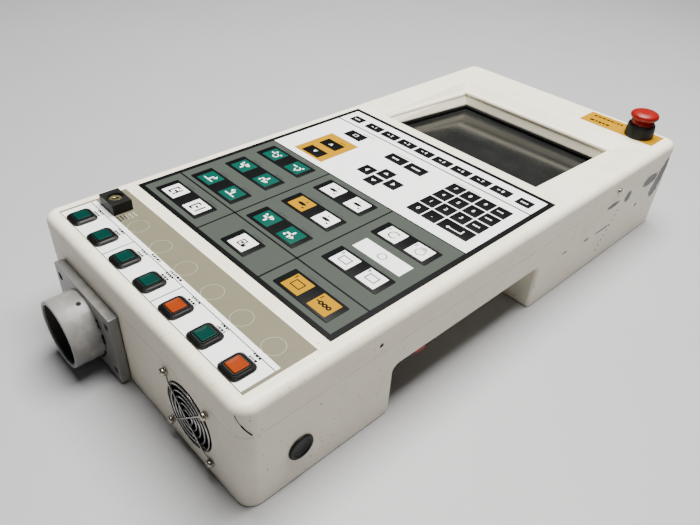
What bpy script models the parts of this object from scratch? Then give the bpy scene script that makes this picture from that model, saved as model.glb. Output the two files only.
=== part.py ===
"""Pendant control station of a moulding machine, lying on its back.

The operator panel faces up (+Z), the screen is at the far end (+Y) and the cable tube and the
cooling fan are on the near end (-Y). The origin is the centre of the footprint at the table.
All lengths are in metres.
"""

import math

import bmesh
import bpy
from mathutils import Matrix, Vector

PART = "pendant_control_station"

# Case
CASE_WIDTH = 0.336
CASE_NEAR_Y = -0.3235
CASE_FAR_Y = 0.3615
PANEL_Z = 0.120
SEAM_Z = 0.0885
WALL = 0.0035
CORNER_RADIUS = 0.015
TOP_RADIUS = 0.0085
FOOT_RADIUS = 0.002
SIDE_DRAFT = 0.0004
UPRIGHT_CORNER_MIN = 0.002
WELD = 0.00001
CUT_REACH = 0.010
INSIDE_X = 0.155
OUTSIDE_X = 0.175
GAP = 0.0003
CASE_LENGTH = CASE_FAR_Y - CASE_NEAR_Y
CASE_MID_Y = (CASE_FAR_Y + CASE_NEAR_Y) / 2

# Arch between the two deep blocks
ARCH_NEAR_Y = -0.1615
ARCH_FAR_Y = 0.0645
ARCH_Z = 0.058
ARCH_RADIUS = 0.006
ARCH_TOE = 0.010
ARCH_FAR_TOE = 0.003
ARCH_EDGE_RADIUS = 0.0045
ARCH_TOE_MIN = 0.0005
BELOW_FLOOR = -0.020

# Lip of the rear shell inside the front shell, and the seal in the joint
LIP_TOP_Z = 0.1040
LIP_LOW_Z = 0.0845
LIP_WALL = 0.0026
LIP_STEP = 0.001
SEAL_INSET = 0.0010
SEAL_WIDTH = 0.0014
SEAL_HEIGHT = 0.0016

# Screen recess: near and far edges of each level as (half width, y, depth under the panel)
RECESS_RIM = ((0.1190, 0.1090, 0.0), (0.1295, 0.2956, 0.0))
RECESS_RIDGE = ((0.1175, 0.1100, 0.0015), (0.1169, 0.2803, 0.0102))
RECESS_MOUTH = ((0.1097, 0.1125, 0.0119), (0.1097, 0.2763, 0.0250))
RECESS_OVERSHOOT = 0.004
RECESS_THROUGH = 0.012
SURROUND_TOP = ((0.140, 0.099), (0.140, 0.306))
SURROUND_LOW = ((0.126, 0.100, 0.0275), (0.126, 0.290, 0.0400))
SCREEN_TILT = math.radians(4.57)
SCREEN_SINK = 0.0075
SCREEN_POCKET = 0.0030
POCKET_LOW = -0.030
POCKET_HIGH = 0.0063
GASKET_HIGH = 0.0060
GASKET_OVERHANG = 0.0004
WINDOW_THICKNESS = 0.0030
MODULE_SIZE = (0.186, 0.150, 0.014)
BRACKET_OUTER = (0.244, 0.146)
BRACKET_INNER = (0.150, 0.110)
BRACKET_THICKNESS = 0.002
BRACKET_CORNER = 0.002
BRACKET_LEG = (0.010, 0.012, 0.0090)
BRACKET_LEG_PLACE = (0.1165, 0.058)

# Printed sheets
SHEET_HALF_WIDTH = 0.153
KEYPAD_NEAR_Y = -0.2266
KEYPAD_FAR_Y = 0.0939
OVERLAY_NEAR_Y = -0.3102
OVERLAY_FAR_Y = -0.2401
SHEET_THICKNESS = 0.0007
SHEET_BED_DEPTH = 0.0006
SHEET_TOP_Z = PANEL_Z - SHEET_BED_DEPTH + GAP + SHEET_THICKNESS
FITTING_Z = SHEET_TOP_Z + GAP

# Illuminated push buttons
BUTTON_COUNT = 7
BUTTON_PITCH = 0.0430
BUTTON_Y = -0.2980
BEZEL_BASE = 0.0240
BEZEL_TOP = 0.0190
BEZEL_HEIGHT = 0.0030
BEZEL_CORNER = 0.0050
CAP_SIDE = 0.0138
CAP_HEIGHT = 0.0050
CAP_PROUD = 0.0010
CAP_PLUNGER_RADIUS = 0.0052
CAP_PLUNGER_REACH = 0.0090
CAP_WELL_DROP = 0.0005
CAP_CORNER = 0.0010
CAP_CHAMFER = 0.0006
BUTTON_HOUSING_DROP = 0.004
BUTTON_HOUSING_HEIGHT = 0.022
CAP_TRAVEL = 0.0030
BUTTON_HOLE_RADIUS = 0.0112
BUTTON_NECK_RADIUS = 0.0108
BUTTON_BODY_SIDE = 0.0180

# Key switch
KEY_X = -0.1270
KEY_Y = -0.2631
KEY_BLOCK = (0.0286, 0.0204, 0.0115)
KEY_RECESS_RADIUS = 0.0086
KEY_RECESS_DEPTH = 0.0023
KEY_BARREL_RADIUS = 0.0066
KEY_BARREL_LENGTH = 0.0220
KEY_NECK_RADIUS = 0.0090
KEY_NECK_FLOOR = 0.0060
KEY_SLOT = (0.0009, -0.0038, 0.0030, 0.0080)

# Emergency stop
ESTOP_X = 0.1258
ESTOP_Y = 0.3309
ESTOP_COLLAR_RADII = (0.0176, 0.0160)
ESTOP_COLLAR_HEIGHT = 0.0160
ESTOP_WELL_RADIUS = 0.0145
ESTOP_WELL_DEPTH = 0.0090
ESTOP_NECK_RADIUS = 0.0140
ESTOP_SHAFT_RADIUS = 0.0080
ESTOP_THREAD_RADIUS = 0.0110
ESTOP_HEAD_RADIUS = 0.0174
ESTOP_HEAD_HEIGHT = 0.0102
ESTOP_TRAVEL = 0.0045
ESTOP_THREAD_DROP = 0.0220
ESTOP_NECK_PROUD = 0.0060
ESTOP_BLOCK_HALF = 0.0145
LABEL_X = (0.0495, 0.1520)
LABEL_Y = (0.3145, 0.3495)

# Cable flange and tube
FLANGE_X = -0.0760
FLANGE_Z = 0.0425
FLANGE_SIZE = (0.1130, 0.0086, 0.0800)
FLANGE_HOLE_PITCH = (0.0940, 0.0548)
TUBE_RADIUS = 0.0350
TUBE_BORE = 0.0310
TUBE_END_Y = -0.3625
TUBE_SEAT = 0.0050
GASKET_THICKNESS = 0.0008
GASKET_INSET = 0.0008
FLANGE_HOLE_RADIUS = 0.0026
FLANGE_SINK = 0.0045
FLANGE_SINK_RADIUS = 0.0044
SET_SCREW_X = 0.0060
SET_SCREW_BACK = 0.0110
SET_SCREW_RADIUS = 0.0016

# Screws: radius and height of the head, radius and length of the shank
FLANGE_SCREW = (0.0040, 0.0032, 0.0020, 0.0125)
FAN_SCREW = (0.0038, 0.0030, 0.0015, 0.0220)
SIDE_SCREW = (0.0041, 0.0026, 0.0021, 0.0110)

# Fan
FAN_X = 0.0900
FAN_Z = 0.0486
FAN_SIDE = 0.0700
FAN_DEPTH = 0.0150
FAN_OPENING_RADIUS = 0.0333
FAN_BORE_RADIUS = 0.0325
FAN_HOLE_PITCH = 0.0600
FAN_BLADE_RADIUS = 0.0310
FAN_HUB_RADIUS = 0.0130
FAN_BLADES = 7
FAN_BLADE_PITCH = math.radians(-48)
FAN_BLADE_HALF = (0.0006, 0.0060)
FAN_CORNER = 0.004
FAN_HOLE_RADIUS = 0.0022
FAN_BASE_HEIGHT = 0.0035
FAN_BASE_RADIUS = 0.0150
FAN_STRUT = 0.0022
GUARD_WIRE = 0.0009
GUARD_EYE_RADIUS = 0.0030
GUARD_RINGS = (0.0075, 0.0135, 0.0195, 0.0255, 0.0315)

# Side fittings
SIDE_SCREW_Z = 0.0982
SIDE_SCREW_YS = (-0.1820, 0.2171)
SIDE_HOLE_RADIUS = 0.0026
PLUG_Y = -0.2689
PLUG_Z = 0.0398
PLUG_RADIUS = 0.0127
PLUG_HOLE_RADIUS = 0.0105
PLUG_RIM_HEIGHT = 0.0020

GRIP_Y = (-0.1553, -0.1030)
GRIP_X = (0.1500, 0.1652)
GRIP_DROP = 0.0045
MARKER_Y = (-0.1310, -0.1170)
MARKER_WIDTH = 0.0060

# Inside: corners of the boards, and chips as (x, y, width, length, height)
MAIN_BOARD = ((-0.120, -0.140, 0.0700), (0.120, 0.045, 0.0716))
MAIN_CHIPS = (
    (-0.090, -0.110, 0.040, 0.040, 0.005),
    (-0.020, -0.100, 0.030, 0.030, 0.004),
    (0.040, -0.120, 0.050, 0.020, 0.012),
    (-0.100, 0.000, 0.060, 0.020, 0.010),
    (0.000, -0.020, 0.060, 0.030, 0.006),
)
KEYPAD_BOARD = ((-0.140, -0.215, 0.1060), (0.140, -0.165, 0.1076))
KEYPAD_CHIPS = ((-0.100, -0.200, 0.030, 0.020, 0.004), (0.020, -0.205, 0.050, 0.020, 0.005))
BACKLIGHT_BOARD = ((-0.060, 0.315, 0.0088), (0.060, 0.350, 0.0104))
BACKLIGHT_CHIPS = ((-0.050, 0.320, 0.030, 0.020, 0.012), (0.000, 0.320, 0.020, 0.020, 0.010))
CHIP_SINK = 0.0005
SUPPLY = ((0.020, -0.285, 0.0038), (0.130, -0.195, 0.0450))
TERMINALS = ((-0.125, -0.205, 0.0038), (-0.015, -0.185, 0.0240))
TERMINAL_COUNT = 8
TERMINAL_PITCH = 0.0135
TERMINAL_SLOT = (0.0090, 0.0140, 0.0080)


def clear_scene():
    for old in list(bpy.data.objects):
        bpy.data.objects.remove(old, do_unlink=True)


def new_collection(name, shown):
    made = bpy.data.collections.new(name)
    made.hide_render = not shown
    bpy.context.scene.collection.children.link(made)
    return made


def make_material(name, colour, roughness, metallic=0.0):
    made = bpy.data.materials.new(name)
    made.use_nodes = True
    shader = made.node_tree.nodes["Principled BSDF"]
    shader.inputs["Base Color"].default_value = (*colour, 1.0)
    shader.inputs["Roughness"].default_value = roughness
    shader.inputs["Metallic"].default_value = metallic
    return made


clear_scene()
PIECES = new_collection(PART, True)
CUTTERS = new_collection("cutters", False)


# ---- Building blocks -------------------------------------------------------------------------


def object_from(bm, name):
    mesh = bpy.data.meshes.new(name)
    bm.to_mesh(mesh)
    bm.free()
    return bpy.data.objects.new(name, mesh)


def as_piece(made, look, smooth_angle=35):
    """Shows an object as a part of the model, in its own material."""
    PIECES.objects.link(made)
    made.data.materials.clear()
    made.data.materials.append(look)
    made.data.shade_smooth()
    made.data.set_sharp_from_angle(angle=math.radians(smooth_angle))
    return made


def as_cutter(made):
    CUTTERS.objects.link(made)
    made.hide_render = True
    made.display_type = "WIRE"
    return made


def box(name, low, high):
    """A box from one corner to the other."""
    low = Vector(low)
    high = Vector(high)
    bm = bmesh.new()
    place = Matrix.Translation((low + high) / 2) @ Matrix.Diagonal((*(high - low), 1.0))
    bmesh.ops.create_cube(bm, size=1.0, matrix=place)
    return object_from(bm, name)


def upright_box(name, x, y, half, low_z, high_z):
    """A square post round a centre line."""
    return box(name, (x - half, y - half, low_z), (x + half, y + half, high_z))


def rotation_onto(axis):
    return Vector((0, 0, 1)).rotation_difference(Vector(axis)).to_matrix().to_4x4()


def cylinder(name, start, axis, length, radius, end_radius=None, segments=32):
    """A cylinder or cone from start, running along axis."""
    end_radius = radius if end_radius is None else end_radius
    middle = Vector(start) + Vector(axis) * (length / 2)
    bm = bmesh.new()
    bmesh.ops.create_cone(
        bm, cap_ends=True, segments=segments, radius1=radius, radius2=end_radius, depth=length,
        matrix=Matrix.Translation(middle) @ rotation_onto(axis),
    )
    return object_from(bm, name)


def turned(name, profile, place, segments=32):
    """A profile of (radius, height) points, from the top down its outer side, turned about Z."""
    mesh = bpy.data.meshes.new(name)
    points = [(radius, 0.0, height) for radius, height in profile]
    mesh.from_pydata(points, [(i, i + 1) for i in range(len(points) - 1)], [])
    made = bpy.data.objects.new(name, mesh)
    screw = made.modifiers.new("turn", "SCREW")
    screw.steps = segments
    screw.render_steps = segments
    screw.use_merge_vertices = True
    screw.merge_threshold = WELD
    made.matrix_world = place
    return made


def arc(centre, radius, start, end, steps):
    """Points on a circle, from one angle to another in degrees."""
    angles = [math.radians(start + (end - start) * i / steps) for i in range(steps + 1)]
    return [(centre[0] + radius * math.cos(a), centre[1] + radius * math.sin(a)) for a in angles]


def rounded_rectangle(width, length, radius, steps=4):
    points = []
    corners = ((1, 1, 0), (-1, 1, 90), (-1, -1, 180), (1, -1, 270))
    for side_x, side_y, start in corners:
        centre = (side_x * (width / 2 - radius), side_y * (length / 2 - radius))
        points += arc(centre, radius, start, start + 90, steps)
    return points


def plate(name, outlines, thickness, place):
    """Flat outlines, the inner ones cut out, filled and raised by thickness from place."""
    curve = bpy.data.curves.new(name, "CURVE")
    curve.dimensions = "2D"
    curve.fill_mode = "BOTH"
    curve.extrude = thickness / 2
    for outline in outlines:
        spline = curve.splines.new("POLY")
        spline.points.add(len(outline) - 1)
        for point, (x, y) in zip(spline.points, outline):
            point.co = (x, y, 0.0, 1.0)
        spline.use_cyclic_u = True
    guide = bpy.data.objects.new(name + "_outline", curve)
    bpy.context.scene.collection.objects.link(guide)
    bpy.context.view_layer.update()
    evaluated = guide.evaluated_get(bpy.context.evaluated_depsgraph_get())
    mesh = bpy.data.meshes.new_from_object(evaluated)
    bpy.data.objects.remove(guide, do_unlink=True)
    bm = bmesh.new()
    bm.from_mesh(mesh)
    bmesh.ops.remove_doubles(bm, verts=bm.verts, dist=WELD)
    bmesh.ops.translate(bm, verts=bm.verts, vec=(0, 0, thickness / 2))
    bmesh.ops.transform(bm, verts=bm.verts, matrix=place)
    bmesh.ops.recalc_face_normals(bm, faces=bm.faces)
    bpy.data.meshes.remove(mesh)
    return object_from(bm, name)


def loft(name, rings):
    """A closed body through rings of equal point counts, capped at both ends."""
    bm = bmesh.new()
    loops = [[bm.verts.new(point) for point in ring] for ring in rings]
    count = len(rings[0])
    for lower, upper in zip(loops, loops[1:]):
        for i in range(count):
            bm.faces.new((lower[i], lower[(i + 1) % count], upper[(i + 1) % count], upper[i]))
    bm.faces.new(loops[0])
    bm.faces.new(loops[-1])
    bmesh.ops.recalc_face_normals(bm, faces=bm.faces)
    return object_from(bm, name)


def joined(name, pieces):
    """Several bodies that don't touch, as one cutter."""
    bm = bmesh.new()
    for piece in pieces:
        bm.from_mesh(piece.data)
        bpy.data.objects.remove(piece, do_unlink=True)
    return object_from(bm, name)


def boolean(made, other, operation):
    modifier = made.modifiers.new(operation.lower() + "_" + other.name, "BOOLEAN")
    modifier.operation = operation
    modifier.object = other
    modifier.solver = "EXACT"


def cut(made, *cutters):
    for cutter in cutters:
        as_cutter(cutter)
        boolean(made, cutter, "DIFFERENCE")


def add_to(made, *bodies):
    for body in bodies:
        as_cutter(body)
        boolean(made, body, "UNION")


def at(x, y, z):
    return Matrix.Translation((x, y, z))


def facing_near(x, y, z):
    """Local Z points out of the near end (-Y), local X stays +X."""
    return at(x, y, z) @ Matrix.Rotation(math.radians(90), 4, "X")


# ---- Case ------------------------------------------------------------------------------------


def rounded_case_block(name, inset, low_z, high_z, draft, low_radius, high_radius):
    """The case's outline as a solid block, with its upright corners and one rim rounded."""
    half = CASE_WIDTH / 2 - inset
    low = (-half, CASE_NEAR_Y + inset, low_z)
    high = (half, CASE_FAR_Y - inset, high_z)
    block = box(name + "_block", low, high)
    bm = bmesh.new()
    bm.from_mesh(block.data)
    bpy.data.objects.remove(block, do_unlink=True)
    for vert in bm.verts:
        if vert.co.z < (low_z + high_z) / 2:
            vert.co.x *= (half - draft) / half
    upright = [e for e in bm.edges if abs(e.verts[0].co.z - e.verts[1].co.z) > GAP]
    corner = max(CORNER_RADIUS - inset, UPRIGHT_CORNER_MIN)
    bmesh.ops.bevel(bm, geom=upright, offset=corner, segments=5, profile=0.5, affect="EDGES")
    for height, radius in ((low_z, low_radius), (high_z, high_radius)):
        rim = [e for e in bm.edges if all(abs(v.co.z - height) < GAP / 10 for v in e.verts)]
        rim = [e for e in rim if len(e.link_faces) == 2]
        if radius:
            bmesh.ops.bevel(bm, geom=rim, offset=radius, segments=4, profile=0.5, affect="EDGES")
    return object_from(bm, name)


def recess_ring(level, lift=0.0):
    """The four corners of one level of the recess, anticlockwise from the near left."""
    near, far = level
    corners = ((-1, near), (1, near), (1, far), (-1, far))
    return [(side * half, y, PANEL_Z - depth + lift) for side, (half, y, depth) in corners]


def recess_cutter():
    """The two slopes round the screen, from above the panel down to the screen's mouth."""
    rings = [
        recess_ring(RECESS_RIM, lift=RECESS_OVERSHOOT),
        recess_ring(RECESS_RIM),
        recess_ring(RECESS_RIDGE),
        recess_ring(RECESS_MOUTH),
        recess_ring(RECESS_MOUTH, lift=-RECESS_THROUGH),
    ]
    return loft("recess_cutter", rings)


def recess_block():
    """The thick surround that the recess is cut into, under the panel."""
    upper = recess_ring([(half, y, WALL / 2) for half, y in SURROUND_TOP])
    return loft("recess_block", [upper, recess_ring(SURROUND_LOW)])


def screen_place():
    """The tilted frame of the screen: its origin on the window's upper face, its X across."""
    near, far = RECESS_MOUTH
    middle = ((near[1] + far[1]) / 2, (near[2] + far[2]) / 2)
    tilt = Matrix.Rotation(-SCREEN_TILT, 4, "X")
    return at(0, middle[0], PANEL_Z - middle[1]) @ tilt @ at(0, 0, -SCREEN_SINK)


def screen_outline(grow):
    """The screen's mouth in the tilted frame, grown on all sides."""
    near, far = RECESS_MOUTH
    reach = (far[1] - near[1]) / 2 / math.cos(SCREEN_TILT)
    return [
        (-near[0] - grow, -reach - grow), (near[0] + grow, -reach - grow),
        (far[0] + grow, reach + grow), (-far[0] - grow, reach + grow),
    ]


def screen_plate(name, grows, low, high):
    return plate(name, [screen_outline(g) for g in grows], high - low, screen_place() @ at(0, 0, low))


def button_xs():
    first = -BUTTON_PITCH * (BUTTON_COUNT - 1) / 2
    return [first + BUTTON_PITCH * i for i in range(BUTTON_COUNT)]


def panel_holes():
    """Holes through the panel for the buttons, the key switch and the emergency stop."""
    low = PANEL_Z - CUT_REACH
    places = [(x, BUTTON_Y, BUTTON_HOLE_RADIUS) for x in button_xs()]
    places.append((KEY_X, KEY_Y, KEY_NECK_RADIUS + GAP))
    places.append((ESTOP_X, ESTOP_Y, ESTOP_THREAD_RADIUS + GAP))
    pieces = [
        cylinder("hole", (x, y, low), (0, 0, 1), 2 * CUT_REACH, radius, segments=24)
        for x, y, radius in places
    ]
    return joined("panel_holes", pieces)


def sheet_beds():
    """Shallow beds in the panel that the printed sheets lie in."""
    low = PANEL_Z - SHEET_BED_DEPTH
    spans = ((KEYPAD_NEAR_Y, KEYPAD_FAR_Y), (OVERLAY_NEAR_Y, OVERLAY_FAR_Y))
    pieces = []
    for near, far in spans:
        half = SHEET_HALF_WIDTH + GAP
        pieces.append(box("bed", (-half, near - GAP, low), (half, far + GAP, low + CUT_REACH)))
    return joined("sheet_beds", pieces)


def side_holes(name):
    """Clearance holes of the four case screws, through both side walls."""
    length = OUTSIDE_X - INSIDE_X
    pieces = []
    for side in (-1, 1):
        for y in SIDE_SCREW_YS:
            start = (side * INSIDE_X, y, SIDE_SCREW_Z)
            pieces.append(cylinder("hole", start, (side, 0, 0), length, SIDE_HOLE_RADIUS, segments=16))
    return joined(name, pieces)


def front_shell():
    look = make_material("front_shell", (0.83, 0.80, 0.72), 0.5)
    shell = rounded_case_block("front_shell", 0.0, SEAM_Z, PANEL_Z, 0.0, 0.0, TOP_RADIUS)
    hollow = rounded_case_block(
        "front_hollow", WALL, SEAM_Z - 0.02, PANEL_Z - WALL, 0.0, 0.0, TOP_RADIUS - WALL
    )
    as_piece(shell, look)
    cut(shell, hollow)
    add_to(shell, recess_block())
    pocket = screen_plate("screen_pocket", [SCREEN_POCKET], POCKET_LOW, POCKET_HIGH)
    cut(shell, recess_cutter(), pocket)
    cut(shell, sheet_beds(), panel_holes(), side_holes("front_side_holes"))


def arch_opening(grow=0.0):
    """Side view of the arch, grown on all sides: upright walls, round shoulders, round feet."""
    foot_near = ARCH_NEAR_Y - ARCH_TOE
    foot_far = ARCH_FAR_Y + ARCH_FAR_TOE
    toe_near = max(ARCH_TOE - grow, ARCH_TOE_MIN)
    toe_far = max(ARCH_FAR_TOE - grow, ARCH_TOE_MIN)
    near = ARCH_NEAR_Y - grow
    far = ARCH_FAR_Y + grow
    top = ARCH_Z + grow
    shoulder = ARCH_RADIUS + grow
    points = [(min(foot_near, near - toe_near), BELOW_FLOOR), (max(foot_far, far + toe_far), BELOW_FLOOR)]
    points += arc((far + toe_far, toe_far), toe_far, 270, 180, 3)
    points += arc((far - shoulder, top - shoulder), shoulder, 0, 90, 4)
    points += arc((near + shoulder, top - shoulder), shoulder, 90, 180, 4)
    points += arc((near - toe_near, toe_near), toe_near, 0, -90, 4)
    return points


def arch_cutter():
    """The arch across the whole case, flared at both sides so that its upright edges are round."""
    half = CASE_WIDTH / 2
    steps = 4
    stations = []
    for i in range(steps + 1):
        angle = math.radians(90 * i / steps)
        across = half - ARCH_EDGE_RADIUS * (1 - math.sin(angle))
        stations.append((across, ARCH_EDGE_RADIUS * (1 - math.cos(angle))))
    stations.append((half + ARCH_EDGE_RADIUS, ARCH_EDGE_RADIUS))
    rings = []
    for x, grow in [(-x, grow) for x, grow in reversed(stations)] + stations:
        rings.append([(x, y, z) for y, z in arch_opening(grow)])
    return loft("arch_inner", rings)


def arch_hump():
    """The same view of the arch's wall from inside the case."""
    near = ARCH_NEAR_Y - WALL
    far = ARCH_FAR_Y + WALL
    radius = ARCH_RADIUS + WALL
    top = ARCH_Z + WALL
    low = BELOW_FLOOR
    near_foot = [(near, ARCH_TOE), (near - ARCH_TOE, WALL / 2), (near - ARCH_TOE, low)]
    far_foot = [(far + ARCH_FAR_TOE, low), (far + ARCH_FAR_TOE, WALL / 2), (far, ARCH_FAR_TOE)]
    points = far_foot + arc((far - radius, top - radius), radius, 0, 90, 4)
    return points + arc((near + radius, top - radius), radius, 90, 180, 4) + near_foot


def across_case(name, outline):
    """A side view run across the whole width of the case."""
    quarter = math.radians(90)
    place = at(-0.2, 0, 0) @ Matrix.Rotation(quarter, 4, "Z") @ Matrix.Rotation(quarter, 4, "X")
    return plate(name, [outline], 0.4, place)


def case_ring(name, outer_inset, inner_inset, low, high):
    """A band that follows the case's outline between two insets."""
    outlines = []
    for inset in (outer_inset, inner_inset):
        radius = max(CORNER_RADIUS - inset, UPRIGHT_CORNER_MIN)
        width = CASE_WIDTH - 2 * inset
        outlines.append(rounded_rectangle(width, CASE_LENGTH - 2 * inset, radius, 5))
    return plate(name, outlines, high - low, at(0, CASE_MID_Y, low))


def near_wall_holes():
    """Cable bore, fan opening and screw holes through the near end."""
    start_y = CASE_NEAR_Y - CUT_REACH / 2
    along = (0, 1, 0)
    pieces = [
        cylinder("hole", (FLANGE_X, start_y, FLANGE_Z), along, CUT_REACH, TUBE_BORE, segments=40),
        cylinder("hole", (FAN_X, start_y, FAN_Z), along, CUT_REACH, FAN_OPENING_RADIUS, segments=48),
    ]
    screws = flange_hole_places() + fan_hole_places()
    for x, z in screws:
        pieces.append(cylinder("hole", (x, start_y, z), along, CUT_REACH, FAN_HOLE_RADIUS, segments=12))
    return joined("near_wall_holes", pieces)


def rear_shell():
    look = make_material("rear_shell", (0.72, 0.70, 0.63), 0.55)
    shell = rounded_case_block("rear_shell", 0.0, 0.0, SEAM_Z - GAP, SIDE_DRAFT, FOOT_RADIUS, 0.0)
    hollow = rounded_case_block("rear_hollow", WALL, WALL, SEAM_Z + 0.02, SIDE_DRAFT, 0.0, 0.0)
    boolean(hollow, as_cutter(across_case("arch_outer", arch_hump())), "DIFFERENCE")
    as_piece(shell, look)
    cut(shell, arch_cutter(), hollow)
    lip_outer = WALL + GAP
    lip_inner = lip_outer + LIP_WALL
    add_to(shell, case_ring("lip_root", WALL / 2, lip_inner, LIP_LOW_Z, SEAM_Z - 2 * SEAL_HEIGHT))
    add_to(shell, case_ring("lip", lip_outer, lip_inner, LIP_LOW_Z + LIP_STEP / 2, LIP_TOP_Z))
    groove_inner = SEAL_INSET + SEAL_WIDTH + GAP
    groove_low = SEAM_Z - SEAL_HEIGHT - 2 * GAP
    cut(shell, case_ring("seal_groove", SEAL_INSET - GAP, groove_inner, groove_low, SEAM_Z + LIP_STEP))
    start = (INSIDE_X, PLUG_Y, PLUG_Z)
    plug_hole = cylinder("plug_hole", start, (1, 0, 0), OUTSIDE_X - INSIDE_X, PLUG_HOLE_RADIUS)
    cut(shell, near_wall_holes(), plug_hole, side_holes("lip_side_holes"))


def case_seal():
    look = make_material("case_seal", (0.03, 0.03, 0.03), 0.8)
    low = SEAM_Z - SEAL_HEIGHT - GAP
    made = case_ring("case_seal", SEAL_INSET, SEAL_INSET + SEAL_WIDTH, low, low + SEAL_HEIGHT)
    as_piece(made, look)


# ---- Screen ----------------------------------------------------------------------------------


def screen_group():
    """Gasket frame over the window, the display module under it, and the bracket that holds both."""
    outlines = [SCREEN_POCKET - GAP, -GASKET_OVERHANG]
    gasket = screen_plate("screen_gasket", outlines, GAP, GASKET_HIGH)
    as_piece(gasket, make_material("screen_gasket", (0.012, 0.012, 0.012), 0.6))
    window = screen_plate("screen_window", [SCREEN_POCKET - GAP], -WINDOW_THICKNESS, 0.0)
    as_piece(window, make_material("screen_window", (0.05, 0.055, 0.055), 0.08))
    width, length, depth = MODULE_SIZE
    module_low = -WINDOW_THICKNESS - GAP - depth
    outline = rounded_rectangle(width, length, UPRIGHT_CORNER_MIN, 1)
    module = plate("display_module", [outline], depth, screen_place() @ at(0, 0, module_low))
    as_piece(module, make_material("display_module", (0.10, 0.11, 0.12), 0.45, 0.4))
    display_bracket(module_low - GAP)


def display_bracket(top):
    outlines = [rounded_rectangle(*size, BRACKET_CORNER, 1) for size in (BRACKET_OUTER, BRACKET_INNER)]
    place = screen_place() @ at(0, 0, top - BRACKET_THICKNESS)
    bracket = plate("display_bracket", outlines, BRACKET_THICKNESS, place)
    as_piece(bracket, make_material("display_bracket", (0.62, 0.63, 0.65), 0.35, 1.0))
    width, length, height = BRACKET_LEG
    leg_x, leg_y = BRACKET_LEG_PLACE
    for side_x in (-1, 1):
        for side_y in (-1, 1):
            name = "bracket_leg_{}_{}".format(side_x > 0, side_y > 0)
            spot = at(side_x * leg_x, side_y * leg_y, top - BRACKET_THICKNESS / 2)
            outline = rounded_rectangle(width, length, BRACKET_CORNER / 2, 1)
            add_to(bracket, plate(name, [outline], height, screen_place() @ spot))


# ---- Printed sheets --------------------------------------------------------------------------


def sheet(name, near, far, colour):
    low = PANEL_Z - SHEET_BED_DEPTH + GAP
    high = low + SHEET_THICKNESS
    made = box(name, (-SHEET_HALF_WIDTH, near, low), (SHEET_HALF_WIDTH, far, high))
    return as_piece(made, make_material(name, colour, 0.45))


def printed_sheets():
    sheet("membrane_keypad", KEYPAD_NEAR_Y, KEYPAD_FAR_Y, (0.20, 0.22, 0.19))
    overlay = sheet("control_overlay", OVERLAY_NEAR_Y, OVERLAY_FAR_Y, (0.30, 0.28, 0.22))
    low = PANEL_Z - CUT_REACH
    length = 2 * CUT_REACH
    pieces = [
        cylinder("hole", (x, BUTTON_Y, low), (0, 0, 1), length, BUTTON_HOLE_RADIUS, segments=24)
        for x in button_xs()
    ]
    key_hole = (KEY_X, KEY_Y, low)
    pieces.append(cylinder("hole", key_hole, (0, 0, 1), length, KEY_NECK_RADIUS + GAP, segments=24))
    cut(overlay, joined("overlay_holes", pieces))


# ---- Push buttons ----------------------------------------------------------------------------


def square_ring(side, radius, z, steps=3):
    return [(x, y, z) for x, y in rounded_rectangle(side, side, radius, steps)]


def button_body(index, x, look):
    """Bezel on the panel, neck through it and the contact housing under it, as one moulding."""
    base = FITTING_Z
    top = base + BEZEL_HEIGHT
    low = PANEL_Z - WALL - BUTTON_HOUSING_DROP
    name = "button_body_{}".format(index)
    bezel = loft(name, [
        square_ring(BEZEL_BASE, BEZEL_CORNER, base),
        square_ring(BEZEL_BASE, BEZEL_CORNER, base + BEZEL_HEIGHT / 3),
        square_ring(BEZEL_TOP, BEZEL_CORNER * 0.6, top),
    ])
    bezel.data.transform(at(x, BUTTON_Y, 0))
    as_piece(bezel, look)
    neck_start = (x, BUTTON_Y, low)
    neck_length = base - low + BEZEL_HEIGHT / 3
    neck = cylinder(name + "_neck", neck_start, (0, 0, 1), neck_length, BUTTON_NECK_RADIUS)
    housing_low = low - BUTTON_HOUSING_HEIGHT
    housing = upright_box(name + "_housing", x, BUTTON_Y, BUTTON_BODY_SIDE / 2, housing_low, low + WALL / 2)
    add_to(bezel, neck, housing)
    well = CAP_SIDE / 2 + GAP
    well_low = base - CAP_WELL_DROP
    cut(bezel, upright_box(name + "_well", x, BUTTON_Y, well, well_low, top + CAP_HEIGHT))
    bore_radius = CAP_PLUNGER_RADIUS + 2 * GAP
    bore_low = top + CAP_PROUD - CAP_PLUNGER_REACH - CAP_TRAVEL - 2 * GAP
    bore_start = (x, BUTTON_Y, bore_low)
    cut(bezel, cylinder(name + "_bore", bore_start, (0, 0, 1), BUTTON_BODY_SIDE, bore_radius, segments=20))


def button_cap(index, x, look):
    """The lit lens, which slides down into the bezel; its plunger runs in the bore."""
    top = FITTING_Z + BEZEL_HEIGHT + CAP_PROUD
    low = FITTING_Z - CAP_WELL_DROP + GAP + CAP_TRAVEL - top
    name = "button_cap_{}".format(index)
    cap = loft(name, [
        square_ring(CAP_SIDE, CAP_CORNER, low, 2),
        square_ring(CAP_SIDE, CAP_CORNER, -CAP_CHAMFER, 2),
        square_ring(CAP_SIDE - 2 * CAP_CHAMFER, CAP_CORNER, 0.0, 2),
    ])
    cap.location = (x, BUTTON_Y, top)
    as_piece(cap, look)
    start = (0, 0, -CAP_PLUNGER_REACH)
    length = CAP_PLUNGER_REACH - CAP_CHAMFER
    plunger = cylinder(name + "_plunger", start, (0, 0, 1), length, CAP_PLUNGER_RADIUS, segments=20)
    plunger.location = cap.location
    add_to(cap, plunger)


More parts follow.
